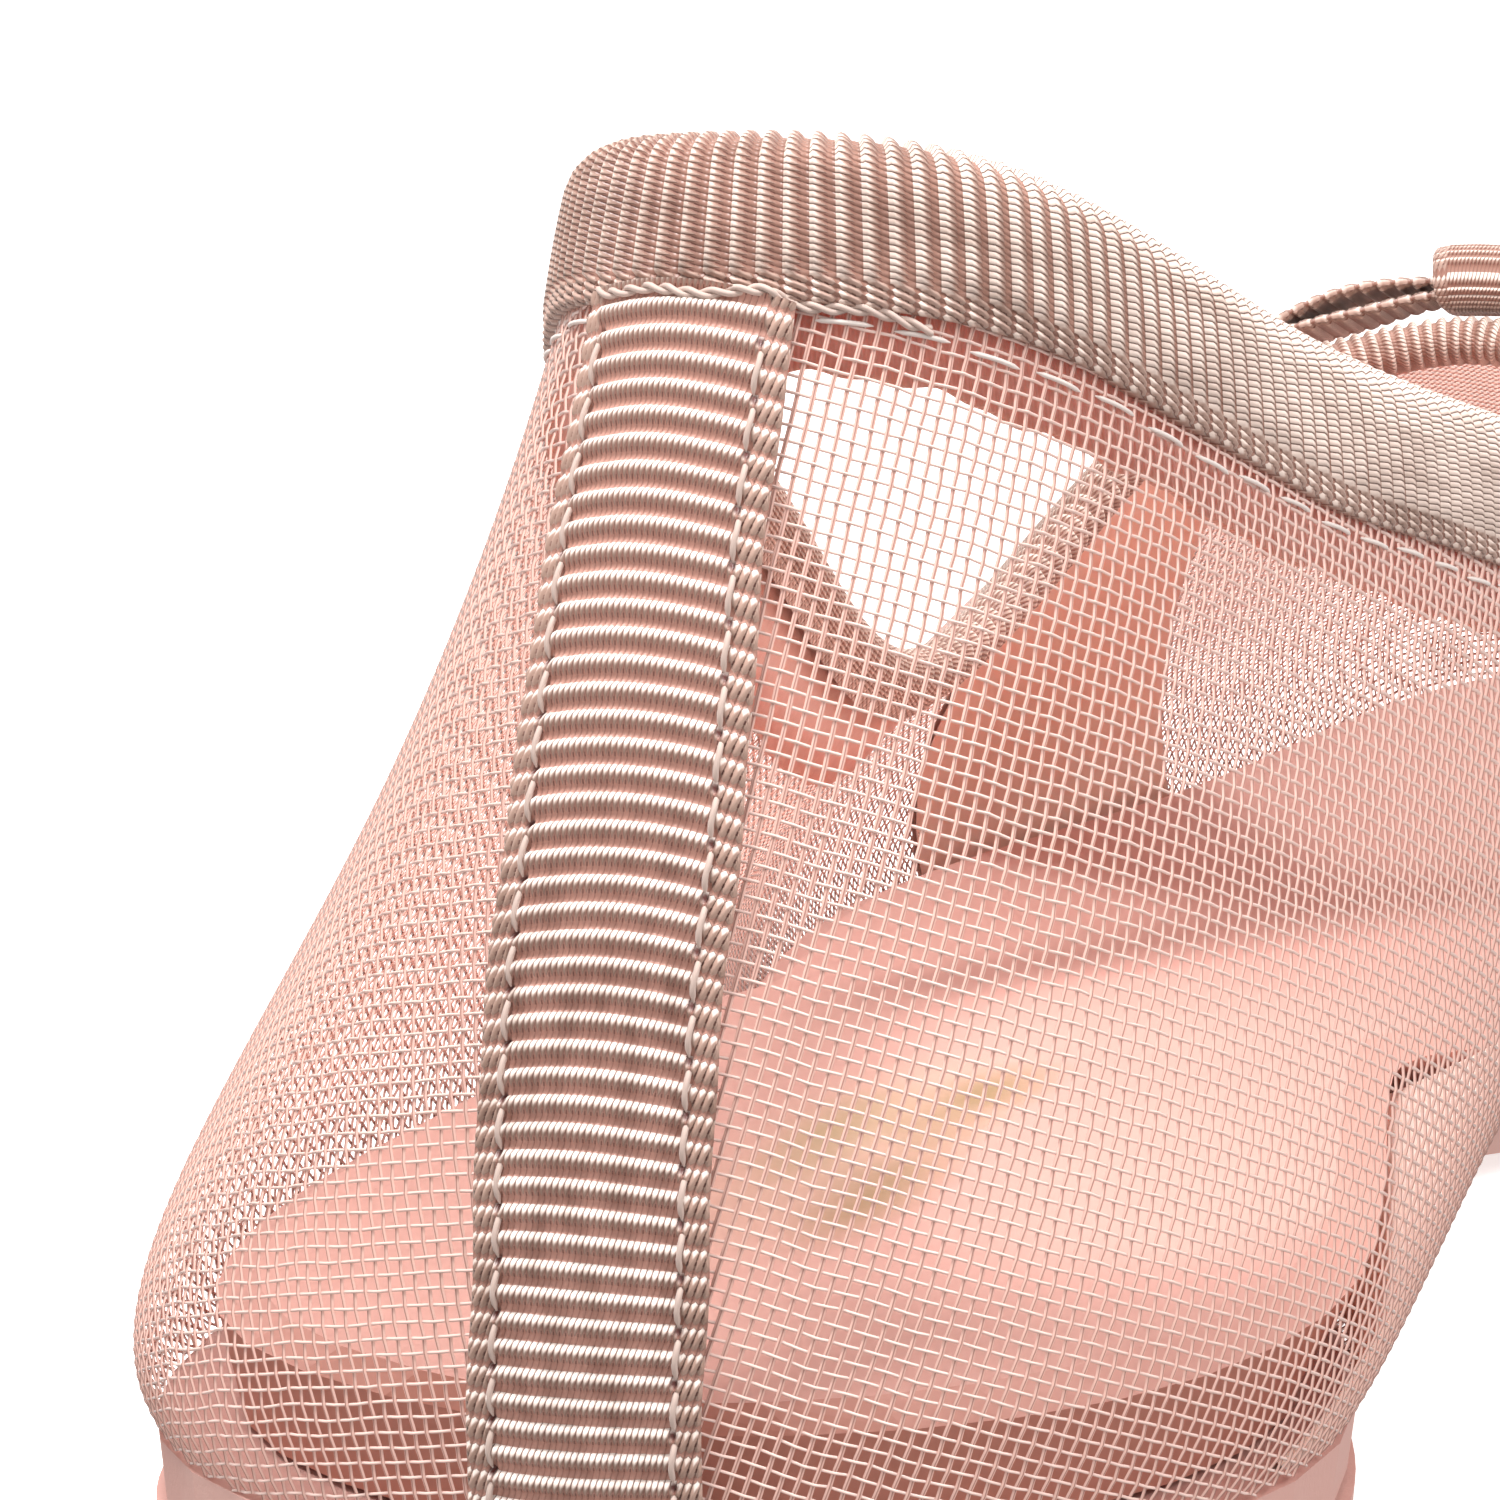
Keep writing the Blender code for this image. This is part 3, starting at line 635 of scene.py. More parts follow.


# Polyester yarn, filament spun and dyed: satin. Each float is painted pale on its upper part as
# painted highlight and duller on its lower flank as painted shade. The grooves keep the cords'
# reddish tone with painted shade, and painted shade darkens the lines between yarns, the pits between
# float tips and the needle holes.
# Handling has greyed it in places.
def grosgrain_material(name, pale_painted_highlight, dull_painted_shade, groove_tone_and_painted_shade, dirt_scale, dirt_amount):
    """The ribbon's finish. Its pattern follows the weave coordinates of each piece."""
    material = new_material(name)
    lay = add_node(material, "ShaderNodeAttribute", {"attribute_name": "lay"})
    hole = add_node(material, "ShaderNodeAttribute", {"attribute_name": "hole"})
    soil = add_node(material, "ShaderNodeAttribute", {"attribute_name": "soil"})
    spot = add_node(material, "ShaderNodeSeparateXYZ", links={0: lay.outputs["Vector"]})
    part = add_node(material, "ShaderNodeMath", {"operation": "FRACT"}, {0: spot.outputs["X"]})
    lean = add_node(material, "ShaderNodeMath", {"operation": "MULTIPLY_ADD", 1: YARN_SLANT}, {
        0: part.outputs["Value"], 2: spot.outputs["Y"],
    })
    aside = add_node(material, "ShaderNodeMath", {"operation": "PINGPONG", 1: 0.5}, {
        0: lean.outputs["Value"],
    })
    taper = add_node(material, "ShaderNodeMapRange", {
        "From Min": FLOAT_SHARE - FLOAT_POINT, "From Max": FLOAT_SHARE, "To Min": 0.5, "To Max": 0.0,
    }, {"Value": part.outputs["Value"]})
    from_end = add_node(material, "ShaderNodeMath", {"operation": "PINGPONG", 1: 0.5}, {
        0: spot.outputs["X"],
    })
    loop_end = add_node(material, "ShaderNodeMapRange", {
        "From Min": 0.0, "From Max": 0.22, "To Min": 0.0, "To Max": 0.56,
        "interpolation_type": "SMOOTHSTEP",
    }, {"Value": from_end.outputs["Value"]})
    reach = add_node(material, "ShaderNodeMix", {}, {
        0: spot.outputs["Z"], 2: taper.outputs["Result"], 3: loop_end.outputs["Result"],
    })
    within = add_node(material, "ShaderNodeMath", {"operation": "SUBTRACT"}, {
        0: reach.outputs[0], 1: aside.outputs["Value"],
    })
    inside = add_node(material, "ShaderNodeMapRange", {
        "From Min": 0.0, "From Max": 0.12, "To Min": 0.0, "To Max": 1.0,
    }, {"Value": within.outputs["Value"]})
    jagged = add_node(material, "ShaderNodeMath", {"operation": "MULTIPLY_ADD", 1: 0.5}, {
        0: aside.outputs["Value"], 2: part.outputs["Value"],
    })
    # Painted highlight on each float's upper part, painted shade on its lower flank.
    painted_flank_shade = add_node(material, "ShaderNodeMapRange", {
        "From Min": 0.30, "From Max": 0.46,
    }, {"Value": jagged.outputs["Value"]})
    satin_painted_light = add_node(material, "ShaderNodeMix", {
        "data_type": "RGBA", 6: linear(pale_painted_highlight), 7: linear(dull_painted_shade),
    }, {0: painted_flank_shade.outputs["Result"]})
    # Between the floats: the cords' own reddish tone, darkened with painted shade.
    weave_with_painted_light = add_node(material, "ShaderNodeMix", {
        "data_type": "RGBA", 6: linear(groove_tone_and_painted_shade),
    }, {0: inside.outputs["Result"], 7: satin_painted_light.outputs[2]})
    # Painted shade: a darker line where neighbouring yarns part.
    painted_yarn_gap_shade = add_node(material, "ShaderNodeMapRange", {
        "From Min": 0.38, "From Max": 0.50, "To Min": 0.0, "To Max": 0.40,
    }, {"Value": aside.outputs["Value"]})
    with_painted_yarn_gap_shade = add_node(material, "ShaderNodeMix", {
        "data_type": "RGBA", "blend_type": "MULTIPLY", 7: linear("#A07466"),
    }, {0: painted_yarn_gap_shade.outputs["Result"], 6: weave_with_painted_light.outputs[2]})
    # Painted shade: dark pits in the recesses between the float tips.
    near_tips = add_node(material, "ShaderNodeMath", {"operation": "COMPARE", 1: 0.62, 2: 0.08}, {
        0: part.outputs["Value"],
    })
    between_tips = add_node(material, "ShaderNodeMapRange", {
        "From Min": 0.30, "From Max": 0.44, "To Min": 0.0, "To Max": 0.75,
    }, {"Value": aside.outputs["Value"]})
    painted_pit_shade = add_node(material, "ShaderNodeMath", {"operation": "MULTIPLY"}, {
        0: near_tips.outputs["Value"], 1: between_tips.outputs["Result"],
    })
    with_painted_pit_shade = add_node(material, "ShaderNodeMix", {
        "data_type": "RGBA", 7: linear("#6E3A30"),
    }, {0: painted_pit_shade.outputs["Value"], 6: with_painted_yarn_gap_shade.outputs[2]})
    cloud = add_node(material, "ShaderNodeTexNoise", {
        "Scale": dirt_scale, "Detail": 4.0, "Roughness": 0.6,
    }, {"Vector": lay.outputs["Vector"]})
    patch = add_node(material, "ShaderNodeMapRange", {
        "From Min": 0.42, "From Max": 0.68, "To Min": 0.0, "To Max": dirt_amount,
    }, {"Value": cloud.outputs["Fac"]})
    worn = add_node(material, "ShaderNodeMath", {"operation": "MULTIPLY"}, {
        0: patch.outputs["Result"], 1: soil.outputs["Fac"],
    })
    dirty = add_node(material, "ShaderNodeMix", {
        "data_type": "RGBA", "blend_type": "MULTIPLY", 7: linear("#A38F82"),
    }, {0: worn.outputs["Value"], 6: with_painted_pit_shade.outputs[2]})
    # Painted shade inside the needle holes.
    with_painted_hole_shade = add_node(material, "ShaderNodeMix", {
        "data_type": "RGBA", 7: linear("#5E261F"),
    }, {0: hole.outputs["Fac"], 6: dirty.outputs[2]})
    round_yarn = add_node(material, "ShaderNodeMath", {"operation": "MULTIPLY"}, {
        0: aside.outputs["Value"], 1: aside.outputs["Value"],
    })
    relief = add_node(material, "ShaderNodeMath", {"operation": "MULTIPLY_ADD", 1: -4.0}, {
        0: round_yarn.outputs["Value"], 2: inside.outputs["Result"],
    })
    bump = add_node(material, "ShaderNodeBump", {
        "Strength": 1.0, "Distance": 0.00004,
    }, {"Height": relief.outputs["Value"]})
    finish_material(material, add_node(material, "ShaderNodeBsdfPrincipled", {
        "Roughness": 0.40, "IOR": 1.56, "Sheen Weight": 0.3, "Sheen Roughness": 0.4,
        "Sheen Tint": linear("#FFF1E8"),
    }, {"Base Color": with_painted_hole_shade.outputs[2], "Normal": bump.outputs["Normal"]}))
    return material


# For both ribbons: a painted highlight colour, a painted flank shade, then the groove's own tone with
# painted shade.
tape_ribbon = grosgrain_material(
    "woven_polyester_tape", "#F6E6DD", "#BD9B8C", "#C69283", 0.28, 0.5,
)
binding_ribbon = grosgrain_material(
    "woven_polyester_binding", "#F6E0D4", "#BE9D8F", "#A67A6B", 0.16, 0.5,
)


def tube(path, normals, radius, sides=6):
    """Points and faces of a round tube along a path, drawn to a point at both ends."""
    path = np.asarray(path, dtype=float)
    ahead = unit(np.gradient(path, axis=0))
    side = unit(np.cross(ahead, normals))
    out = np.cross(side, ahead)
    radii = np.full(len(path), radius)
    radii[0] = radii[-1] = radius * 0.25
    turns = np.arange(sides) * 2 * np.pi / sides
    points = (
        path[:, None]
        + out[:, None] * (np.sin(turns) * radii[:, None])[..., None]
        + side[:, None] * (np.cos(turns) * radii[:, None])[..., None]
    )
    return points.reshape(-1, 3), sheet_quads(len(path), sides, closed=True)


def joined(parts):
    """Several point and face sets as one."""
    points, quads, count = [], [], 0
    for some_points, some_quads in parts:
        points.append(some_points)
        quads.append(some_quads + count)
        count += len(some_points)
    return np.concatenate(points), np.concatenate(quads)


# Back tape
# A length of the ribbon sewn over the back seam, from the binding down to the sole. Two
# rows of lockstitch hold it; every second rib their needle holes are sunk and darkened with painted
# shade.
TAPE_WIDTH, TAPE_TOP_WIDTH, BINDING_OUTER = 9.0, 8.0, 5.0
TAPE_SAMPLES, TAPE_RIB_SAMPLES = 184, 10
STITCH_INSET = EDGE_BAND + 0.13
STITCH_STEP = 2 * RIB_PITCH
STITCH_RADIUS, STITCH_END = 0.125, 0.12  # a stitch ends this far from its hole's middle
HOLE_RADIUS, HOLE_DEPTH = 0.20, 0.22
TAPE_TUCK = 0.6  # how far it runs on under the binding
TAPE_BASE, TAPE_BACK = 0.28, 0.05  # grooves and back above the wall, past the gap
TAPE_SOIL = (16.0, 30.0)  # greyed by handling from here down

levels = np.linspace(1.0, 0.0, 401)
line = wall(0.0, levels)
lengths = np.concatenate([[0.0], np.cumsum(np.linalg.norm(np.diff(line, axis=0), axis=1))])
tape_top, tape_end = BINDING_OUTER - TAPE_TUCK, float(lengths[-1])


def tape_point(down, aside, offset):
    """A point over the back seam: down from the topline, aside from the seam, set off."""
    level = np.interp(down, lengths, levels)
    drawn_in = smoothstep(2 * level / np.interp(tape_top, lengths, levels) - 1)
    aside = aside * (1 + (TAPE_TOP_WIDTH / TAPE_WIDTH - 1) * drawn_in)
    step = np.linalg.norm(wall(1.0, level) - wall(-1.0, level), axis=-1)
    point, _, _, normal = wall_axes(2 * aside / step, level)
    return point + normal * np.asarray(offset)[..., None]


rows = int((tape_end - tape_top) / RIB_PITCH * TAPE_RIB_SAMPLES)
down = np.linspace(tape_top, tape_end, rows)[:, None]
aside = np.linspace(-TAPE_WIDTH / 2, TAPE_WIDTH / 2, TAPE_SAMPLES)[None, :]
# The ribbon sways a little from side to side, and its ribs sag and wander.
sway = 0.07 * np.sin(down / 2.9) + 0.05 * np.sin(down / 1.3 + 1.0)
skew = down + 0.013 * aside ** 2 + 0.02 * aside + 0.05 * np.sin(aside / 1.7 + down / 4.0)
height, weave = ribbon_weave(skew, aside, TAPE_WIDTH / 2)
nearest = np.abs(down - np.round(down / STITCH_STEP) * STITCH_STEP)
stitch_line = TAPE_WIDTH / 2 - STITCH_INSET
hole = smoothstep(1.4 - np.hypot(nearest, (np.abs(aside) - stitch_line) * 1.2) / HOLE_RADIUS)
height = height - HOLE_DEPTH * hole
soil = smoothstep((down - TAPE_SOIL[0]) / (TAPE_SOIL[1] - TAPE_SOIL[0])) * np.ones_like(aside)
front = tape_point(down + 0 * aside, aside + sway, GAP + TAPE_BASE + height)
# The back is plain, so a quarter of the rows are enough.
down_few, aside_few = np.broadcast_arrays(down[::4], aside[:, ::6])
back = tape_point(down_few, aside_few + sway[::4], np.full(down_few.shape, GAP + TAPE_BACK))
tape = quad_piece(
    "heel_tape_weave", front, sheet_quads(*height.shape), tape_ribbon,
    {"lay": weave, "hole": hole, "soil": soil},
)
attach(tape, "root")
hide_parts("heel_tape")
tape_back = quad_piece(
    "heel_tape_back", back, sheet_quads(*back.shape[:2])[:, ::-1], tape_ribbon,
    {"lay": back, "hole": np.zeros(back.shape[:2]), "soil": np.zeros(back.shape[:2])},
)
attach(tape_back, "root")

# Spun polyester sewing thread: matt, pale, sunk between its holes.
thread = new_material("spun_polyester_thread")
finish_material(thread, add_node(thread, "ShaderNodeBsdfPrincipled", {
    "Base Color": linear("#CBB3A8"), "Roughness": 0.6, "Sheen Weight": 0.3,
}))
stitches = []
for side in (-1, 1):
    for k in range(int(tape_top / STITCH_STEP) + 1, int(tape_end / STITCH_STEP)):
        run = np.linspace(k * STITCH_STEP + STITCH_END, (k + 1) * STITCH_STEP - STITCH_END, 7)
        arch = np.sin(np.linspace(0, np.pi, 7))
        path = tape_point(
            run, side * stitch_line + 0.07 * np.sin(run / 2.9) + 0.05 * np.sin(run * 3.1),
            GAP + 0.38 + 0.24 * arch,
        )
        _, _, _, normal = wall_axes(0.0, np.interp(run, lengths, levels))
        stitches.append(tube(path, normal, STITCH_RADIUS))
points, quads = joined(stitches)
tape_stitches = quad_piece("heel_tape_stitches", points, quads, thread)
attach(tape_stitches, "root")


# Topline binding
# The same ribbon folded over the topline, its outer leg 5 mm and its inner one short,
# with a salmon facing tape behind it that shows through the mesh below the ribbon.
BINDING_RIB_SAMPLES = 7
FOLD_RADIUS = 1.22
FOLD_MIDDLE = -0.5  # the fold goes round a line this far inside the wall's outer face
INNER_LEG = 2.4

ring = np.linspace(TIP_PLACE, TIP_PLACE + GIRTH, 3001)
rim = on_wall(ring, np.full((len(ring), 1), BINDING_OUTER / 2), np.full((len(ring), 1), 1.0))[:, 0]
rim_lengths = np.concatenate([[0.0], np.cumsum(np.linalg.norm(np.diff(rim, axis=0), axis=1))])
rim_total = float(rim_lengths[-1])
rib_count = int(round(rim_total / RIB_PITCH))
along = np.linspace(0, rib_count * RIB_PITCH, rib_count * BINDING_RIB_SAMPLES + 1)
places = np.interp(along * rim_total / (rib_count * RIB_PITCH), rim_lengths, ring)

arc = math.pi * FOLD_RADIUS
width = BINDING_OUTER + arc + INNER_LEG
# Fine over the looped edge, coarser over the fold and the inner leg
across = np.concatenate([
    np.linspace(0, EDGE_BAND, 13), np.linspace(EDGE_BAND + 0.1, BINDING_OUTER, 6),
    np.linspace(BINDING_OUTER + 0.45, BINDING_OUTER + arc, 8),
    np.linspace(width - INNER_LEG + 0.8, width, 3),
])
bend = np.clip((across - BINDING_OUTER) / FOLD_RADIUS, 0, math.pi)
base_depth = np.where(
    across < BINDING_OUTER, BINDING_OUTER - across,
    np.where(bend < math.pi, 0.0, across - BINDING_OUTER - arc),
)
height, weave = ribbon_weave(along[:, None], across[None, :] - width / 2, width / 2, fine=False)
edge_share = np.clip(1 - across / BINDING_OUTER, 0, 1)
reach = FOLD_RADIUS + height - 0.1 - 0.45 * edge_share ** 2
depths = base_depth[None, :] - np.where(bend > 0, np.sin(bend), 0.0)[None, :] * reach
offsets = FOLD_MIDDLE + np.cos(bend)[None, :] * reach
# The lower edge waves a little, and turns in to the wall below its loops.
wave = 0.10 * np.sin(along / 5.3) + 0.06 * np.sin(along / 2.1 + 2.0)
depths = depths + wave[:, None] * edge_share[None, :]
hem = np.full((len(along), 1), FOLD_MIDDLE - 0.1)
depths = np.concatenate([depths[:, :1] - 0.15, depths], axis=1)
offsets = np.concatenate([hem, offsets], axis=1)
weave = np.concatenate([weave[:, :1], weave], axis=1)
binding = quad_piece(
    "topline_ribbon", on_wall(places, depths, offsets), sheet_quads(*depths.shape)[:, ::-1],
    binding_ribbon,
    {"lay": weave, "hole": np.zeros(depths.shape), "soil": np.ones(depths.shape)},
)
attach(binding, "root")
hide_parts("topline_binding")

FACING_DEPTH, FACING_THICKNESS, FACING_OUTSIDE = 7.6, 0.45, -0.50
FACING_TOP = 0.4

# Plain woven cotton tape, dyed salmon: matt, with a fine even weave, 0.24 mm a thread,
# that just shows.
facing_cloth = new_material("woven_cotton_facing")
lay = add_node(facing_cloth, "ShaderNodeAttribute", {"attribute_name": "lay"})
mottle = add_node(facing_cloth, "ShaderNodeTexNoise", {
    "Scale": 1.6, "Detail": 5.0, "Roughness": 0.65,
}, {"Vector": lay.outputs["Vector"]})
tone = add_node(facing_cloth, "ShaderNodeMix", {
    "data_type": "RGBA", 6: linear("#D09080"), 7: linear("#E8B5A6"),
}, {0: mottle.outputs["Fac"]})
weft = add_node(facing_cloth, "ShaderNodeTexWave", {
    "Scale": 1.3, "Distortion": 0.6, "Detail": 1.0, "bands_direction": "X",
}, {"Vector": lay.outputs["Vector"]})
raised = add_node(facing_cloth, "ShaderNodeBump", {
    "Strength": 0.6, "Distance": 0.00008,
}, {"Height": weft.outputs["Fac"]})
finish_material(facing_cloth, add_node(facing_cloth, "ShaderNodeBsdfPrincipled", {
    "Roughness": 0.8, "Sheen Weight": 0.2,
    "Subsurface Weight": 0.8, "Subsurface Radius": (1.0, 0.6, 0.5), "Subsurface Scale": 0.0012,
}, {"Base Color": tone.outputs[2], "Normal": raised.outputs["Normal"]}))

FACING_INSIDE = FACING_OUTSIDE - FACING_THICKNESS
along = np.linspace(0, rim_total, 900)
places = np.interp(along, rim_lengths, ring)
ragged = 0.12 * np.sin(along / 0.9) + 0.10 * np.sin(along / 2.3 + 1.0)
ragged = ragged + 0.08 * np.sin(along / 0.41)
section = np.array([
    (FACING_TOP, FACING_OUTSIDE), (FACING_DEPTH * 0.5, FACING_OUTSIDE),
    (FACING_DEPTH, FACING_OUTSIDE), (FACING_DEPTH, FACING_INSIDE),
    (FACING_DEPTH * 0.5, FACING_INSIDE), (FACING_TOP, FACING_INSIDE),
])
depths = section[None, :, 0] + ragged[:, None] * (section[None, :, 0] > FACING_DEPTH * 0.9)
facing_points = on_wall(places, depths, np.broadcast_to(section[:, 1], depths.shape))
facing = quad_piece(
    "topline_facing", facing_points, sheet_quads(*depths.shape, closed=True), facing_cloth,
    {"lay": np.stack(np.broadcast_arrays(along[:, None], depths, 0.0), axis=-1)},
)
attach(facing, "root")

RUN_PITCH, RUN_LENGTH, RUN_RADIUS = 3.1, 2.3, 0.10
RUN_DEPTH = BINDING_OUTER + 0.75
runs = []
for k in range(int(rim_total / RUN_PITCH)):
    steps = np.linspace(0, RUN_LENGTH, 8)
    here = np.interp(k * RUN_PITCH + steps, rim_lengths, ring)
    arch = np.sin(np.linspace(0, np.pi, 8))
    deep = RUN_DEPTH + 0.12 * np.sin(k * 1.7)
    path = on_wall(here, np.full((8, 1), deep), (0.18 * arch - 0.12)[:, None])[:, 0]
    _, _, _, normal = wall_axes(here, 0.9)
    runs.append(tube(path, normal, RUN_RADIUS))
# The same thread, bleached: whiter and a little smoother.
white_thread = new_material("bleached_polyester_thread")
finish_material(white_thread, add_node(white_thread, "ShaderNodeBsdfPrincipled", {
    "Base Color": linear("#EADCD5"), "Roughness": 0.5, "Sheen Weight": 0.3,
}))
points, quads = joined(runs)
running_stitch = quad_piece("facing_stitches", points, quads, white_thread)
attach(running_stitch, "root")

# Two plies of thread, twisted, edge the ribbon where it crosses the tape and run out
# loosely beside it on the inner half.
CORD_PLACES, CORD_PLY, CORD_TWIST = (-4.6, 11.0), 0.12, 2.1
here = np.linspace(*CORD_PLACES, 220)
over_tape = smoothstep((5.2 - np.abs(here + 0.2)) / 0.8)
low = 0.10 - 0.26 * over_tape + 0.10 * np.sin(here * 1.3) + 0.35 * smoothstep((here - 5) / 8)
cords = []
for turn in (0.0, math.pi):
    twist = turn + 2 * np.pi * here / CORD_TWIST
    deep = BINDING_OUTER + low + CORD_PLY * np.sin(twist)
    lift = 0.16 + 0.62 * over_tape + CORD_PLY * np.cos(twist)
    path = on_wall(here, deep[:, None], lift[:, None])[:, 0]
    _, _, _, normal = wall_axes(here, 0.9)
    cords.append(tube(path, normal, CORD_PLY))
points, quads = joined(cords)
edge_cord = quad_piece("edge_cord", points, quads, thread)
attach(edge_cord, "root")


# Back seam lining
# A narrow strip of the same cotton tape inside the back seam, where the two halves of the
# mesh meet under the ribbon.
SEAM_STRIP_HALF, SEAM_STRIP_INSET, SEAM_STRIP_SHORT = 3.2, -0.62, 1.0
down = np.linspace(FACING_DEPTH - SEAM_STRIP_SHORT, tape_end - SEAM_STRIP_SHORT, 60)[:, None]
aside = np.linspace(-SEAM_STRIP_HALF, SEAM_STRIP_HALF, 9)[None, :]
lining = quad_piece(
    "back_seam_lining",
    tape_point(down + 0 * aside, aside + 0 * down, SEAM_STRIP_INSET + 0 * down * aside),
    sheet_quads(60, 9)[:, ::-1], facing_cloth,
    {"lay": np.stack(np.broadcast_arrays(down, aside, 0.0), axis=-1)},
)
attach(lining, "root")


# Bow
# A small flat bow of the same ribbon on the throat: two folded loops drawn in by a short
# band round the middle.
BOW_SPAN, BOW_RIBBON, BOW_PINCH, BOW_THICKNESS = 27.0, 7.5, 4.6, 0.8
BOW_RISE, BOW_SQUEEZE, BOW_BEND = 3.6, 0.5, 26.0
BOW_SETTLE, BOW_CLOSE = 0.5, 0.62  # the loops are pressed nearly shut
KNOT_WIDTH, KNOT_DEPTH, KNOT_RISE, KNOT_RIBS = 5.6, 8.4, 4.4, 22
BINDING_THICKNESS = 0.9
BOW_RIB_SAMPLES = 8
BOW_SOIL = 0.1

throat = on_wall([TIP_PLACE], [[BOW_RIBBON / 2]], [[2 * GAP + BINDING_THICKNESS]])[0, 0]
levels_down = np.linspace(1.0, 0.0, 201)
throat_line = wall(TIP_PLACE, levels_down)
throat_steps = np.linalg.norm(np.diff(throat_line, axis=0), axis=1)
throat_runs = np.concatenate([[0.0], np.cumsum(throat_steps)])
throat_level = float(np.interp(BOW_RIBBON / 2, throat_runs, levels_down))
_, throat_climb, throat_girth, throat_out = wall_axes(TIP_PLACE, throat_level)


def on_bow(side, ahead, lift):
    """A point of the bow: side across the throat, ahead to the toe, lift off the shoe."""
    side, ahead, lift = np.broadcast_arrays(side, ahead, lift)
    turn = side / BOW_BEND
    reach = BOW_BEND + lift
    return (
        throat - throat_girth * (reach * np.sin(turn))[..., None]
        - throat_climb * ahead[..., None]
        + throat_out * (reach * np.cos(turn) - BOW_BEND)[..., None]
    )


turns = np.linspace(0, np.pi, 400)
share = np.sin(turns)
swell = BOW_SQUEEZE + (1 - BOW_SQUEEZE) * smoothstep(2 * share)
reach = (BOW_SPAN - BOW_THICKNESS) / 2 - KNOT_WIDTH / 2 - GAP
bow_run = KNOT_WIDTH / 2 + GAP + reach * share - 0.9 * (1 - share) ** 4
bow_opening = np.cos(turns) * (BOW_RISE - BOW_THICKNESS) * swell * BOW_CLOSE
bow_lift = (BOW_RISE - BOW_SETTLE - bow_opening) / 2
bow_length = np.concatenate([[0.0], np.cumsum(np.hypot(np.diff(bow_run), np.diff(bow_lift)))])
bow_ribs = int(round(bow_length[-1] / RIB_PITCH))
spots = np.linspace(0, bow_length[-1], bow_ribs * BOW_RIB_SAMPLES + 1)
turn = np.interp(spots, bow_length, turns)
run, lift = np.interp(spots, bow_length, bow_run), np.interp(spots, bow_length, bow_lift)
step_run, step_lift = np.gradient(run), np.gradient(lift)
size = np.hypot(step_run, step_lift)
step_run, step_lift = step_run / size, step_lift / size
half = (BOW_PINCH + (BOW_RIBBON - BOW_PINCH) * smoothstep(1.3 * np.sin(turn))) / 2
shares = np.linspace(-1, 1, 46)
height, weave = ribbon_weave(
    spots[:, None] * bow_ribs * RIB_PITCH / bow_length[-1], shares[None, :] * BOW_RIBBON / 2,
    BOW_RIBBON / 2,
)
thick = 0.10 + height * 0.75
weave = np.concatenate([weave, weave[:, ::-1]], axis=1)
section_share = np.concatenate([shares, shares[::-1]])
section_thick = np.concatenate([thick, -thick[:, ::-1]], axis=1)
for name, node, direction in (
    ("bow_ribbon_inner", "bow_loop_inner", 1), ("bow_ribbon_outer", "bow_loop_outer", -1),
):
    points = on_bow(
        direction * (run[:, None] + step_lift[:, None] * section_thick),
        half[:, None] * section_share[None, :],
        lift[:, None] - step_run[:, None] * section_thick,
    )
    quads = sheet_quads(*section_thick.shape, closed=True)
    loop = quad_piece(name, points, quads if direction < 0 else quads[:, ::-1], binding_ribbon, {
        "lay": weave, "hole": np.zeros_like(section_thick),
        "soil": np.full_like(section_thick, BOW_SOIL),
    })
    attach(loop, "root")
    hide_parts(node)

wrap = np.linspace(0, 2 * np.pi, KNOT_RIBS * BOW_RIB_SAMPLES + 1)
knot_share = np.linspace(-1, 1, 30)
curl = np.sqrt(np.clip(1 - np.abs(knot_share) ** 6, 0.0, 1))
shape_ahead = np.copysign(np.abs(np.cos(wrap)) ** 0.6, np.cos(wrap)) * KNOT_DEPTH / 2
shape_lift = np.copysign(np.abs(np.sin(wrap)) ** 0.6, np.sin(wrap)) * KNOT_RISE / 2
height, weave = ribbon_weave(
    (wrap * KNOT_RIBS * RIB_PITCH / (2 * np.pi))[:, None], knot_share[None, :] * KNOT_WIDTH / 2,
    KNOT_WIDTH / 2,
)
swell = (0.80 + 0.12 * curl[None, :]) + (height - 0.2) * 0.12
points = on_bow(
    knot_share[None, :] * KNOT_WIDTH / 2 * 0.98, shape_ahead[:, None] * swell,
    KNOT_RISE / 2 + shape_lift[:, None] * swell,
)
knot = quad_piece("bow_band", points, sheet_quads(*height.shape), binding_ribbon, {
    "lay": weave, "hole": np.zeros_like(height), "soil": np.full_like(height, BOW_SOIL),
})
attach(knot, "root")
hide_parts("bow_knot")


# Insole
# A padded footbed covered in smooth sheepskin, dyed pale pink. Near the heel its side is
# painted deeper as painted shade, and the heel carries a few old yellowish stains and a speck.
# Sheepskin, chrome tanned and drum dyed, with a dull finish: pores about 0.7 mm apart and
# soft clouds of dye about 1 cm across.
insole_leather = new_material("dyed_sheepskin")
place = add_node(insole_leather, "ShaderNodeNewGeometry")
pores = add_node(insole_leather, "ShaderNodeTexVoronoi", {
    "Scale": 1400.0, "feature": "F1",
}, {"Vector": place.outputs["Position"]})
clouds = add_node(insole_leather, "ShaderNodeTexNoise", {
    "Scale": 90.0, "Detail": 4.0, "Roughness": 0.6,
}, {"Vector": place.outputs["Position"]})
hide = add_node(insole_leather, "ShaderNodeMix", {
    "data_type": "RGBA", 6: linear("#DDADA1"), 7: linear("#D5A398"),
}, {0: clouds.outputs["Fac"]})
height_part = add_node(insole_leather, "ShaderNodeSeparateXYZ", links={0: place.outputs["Normal"]})
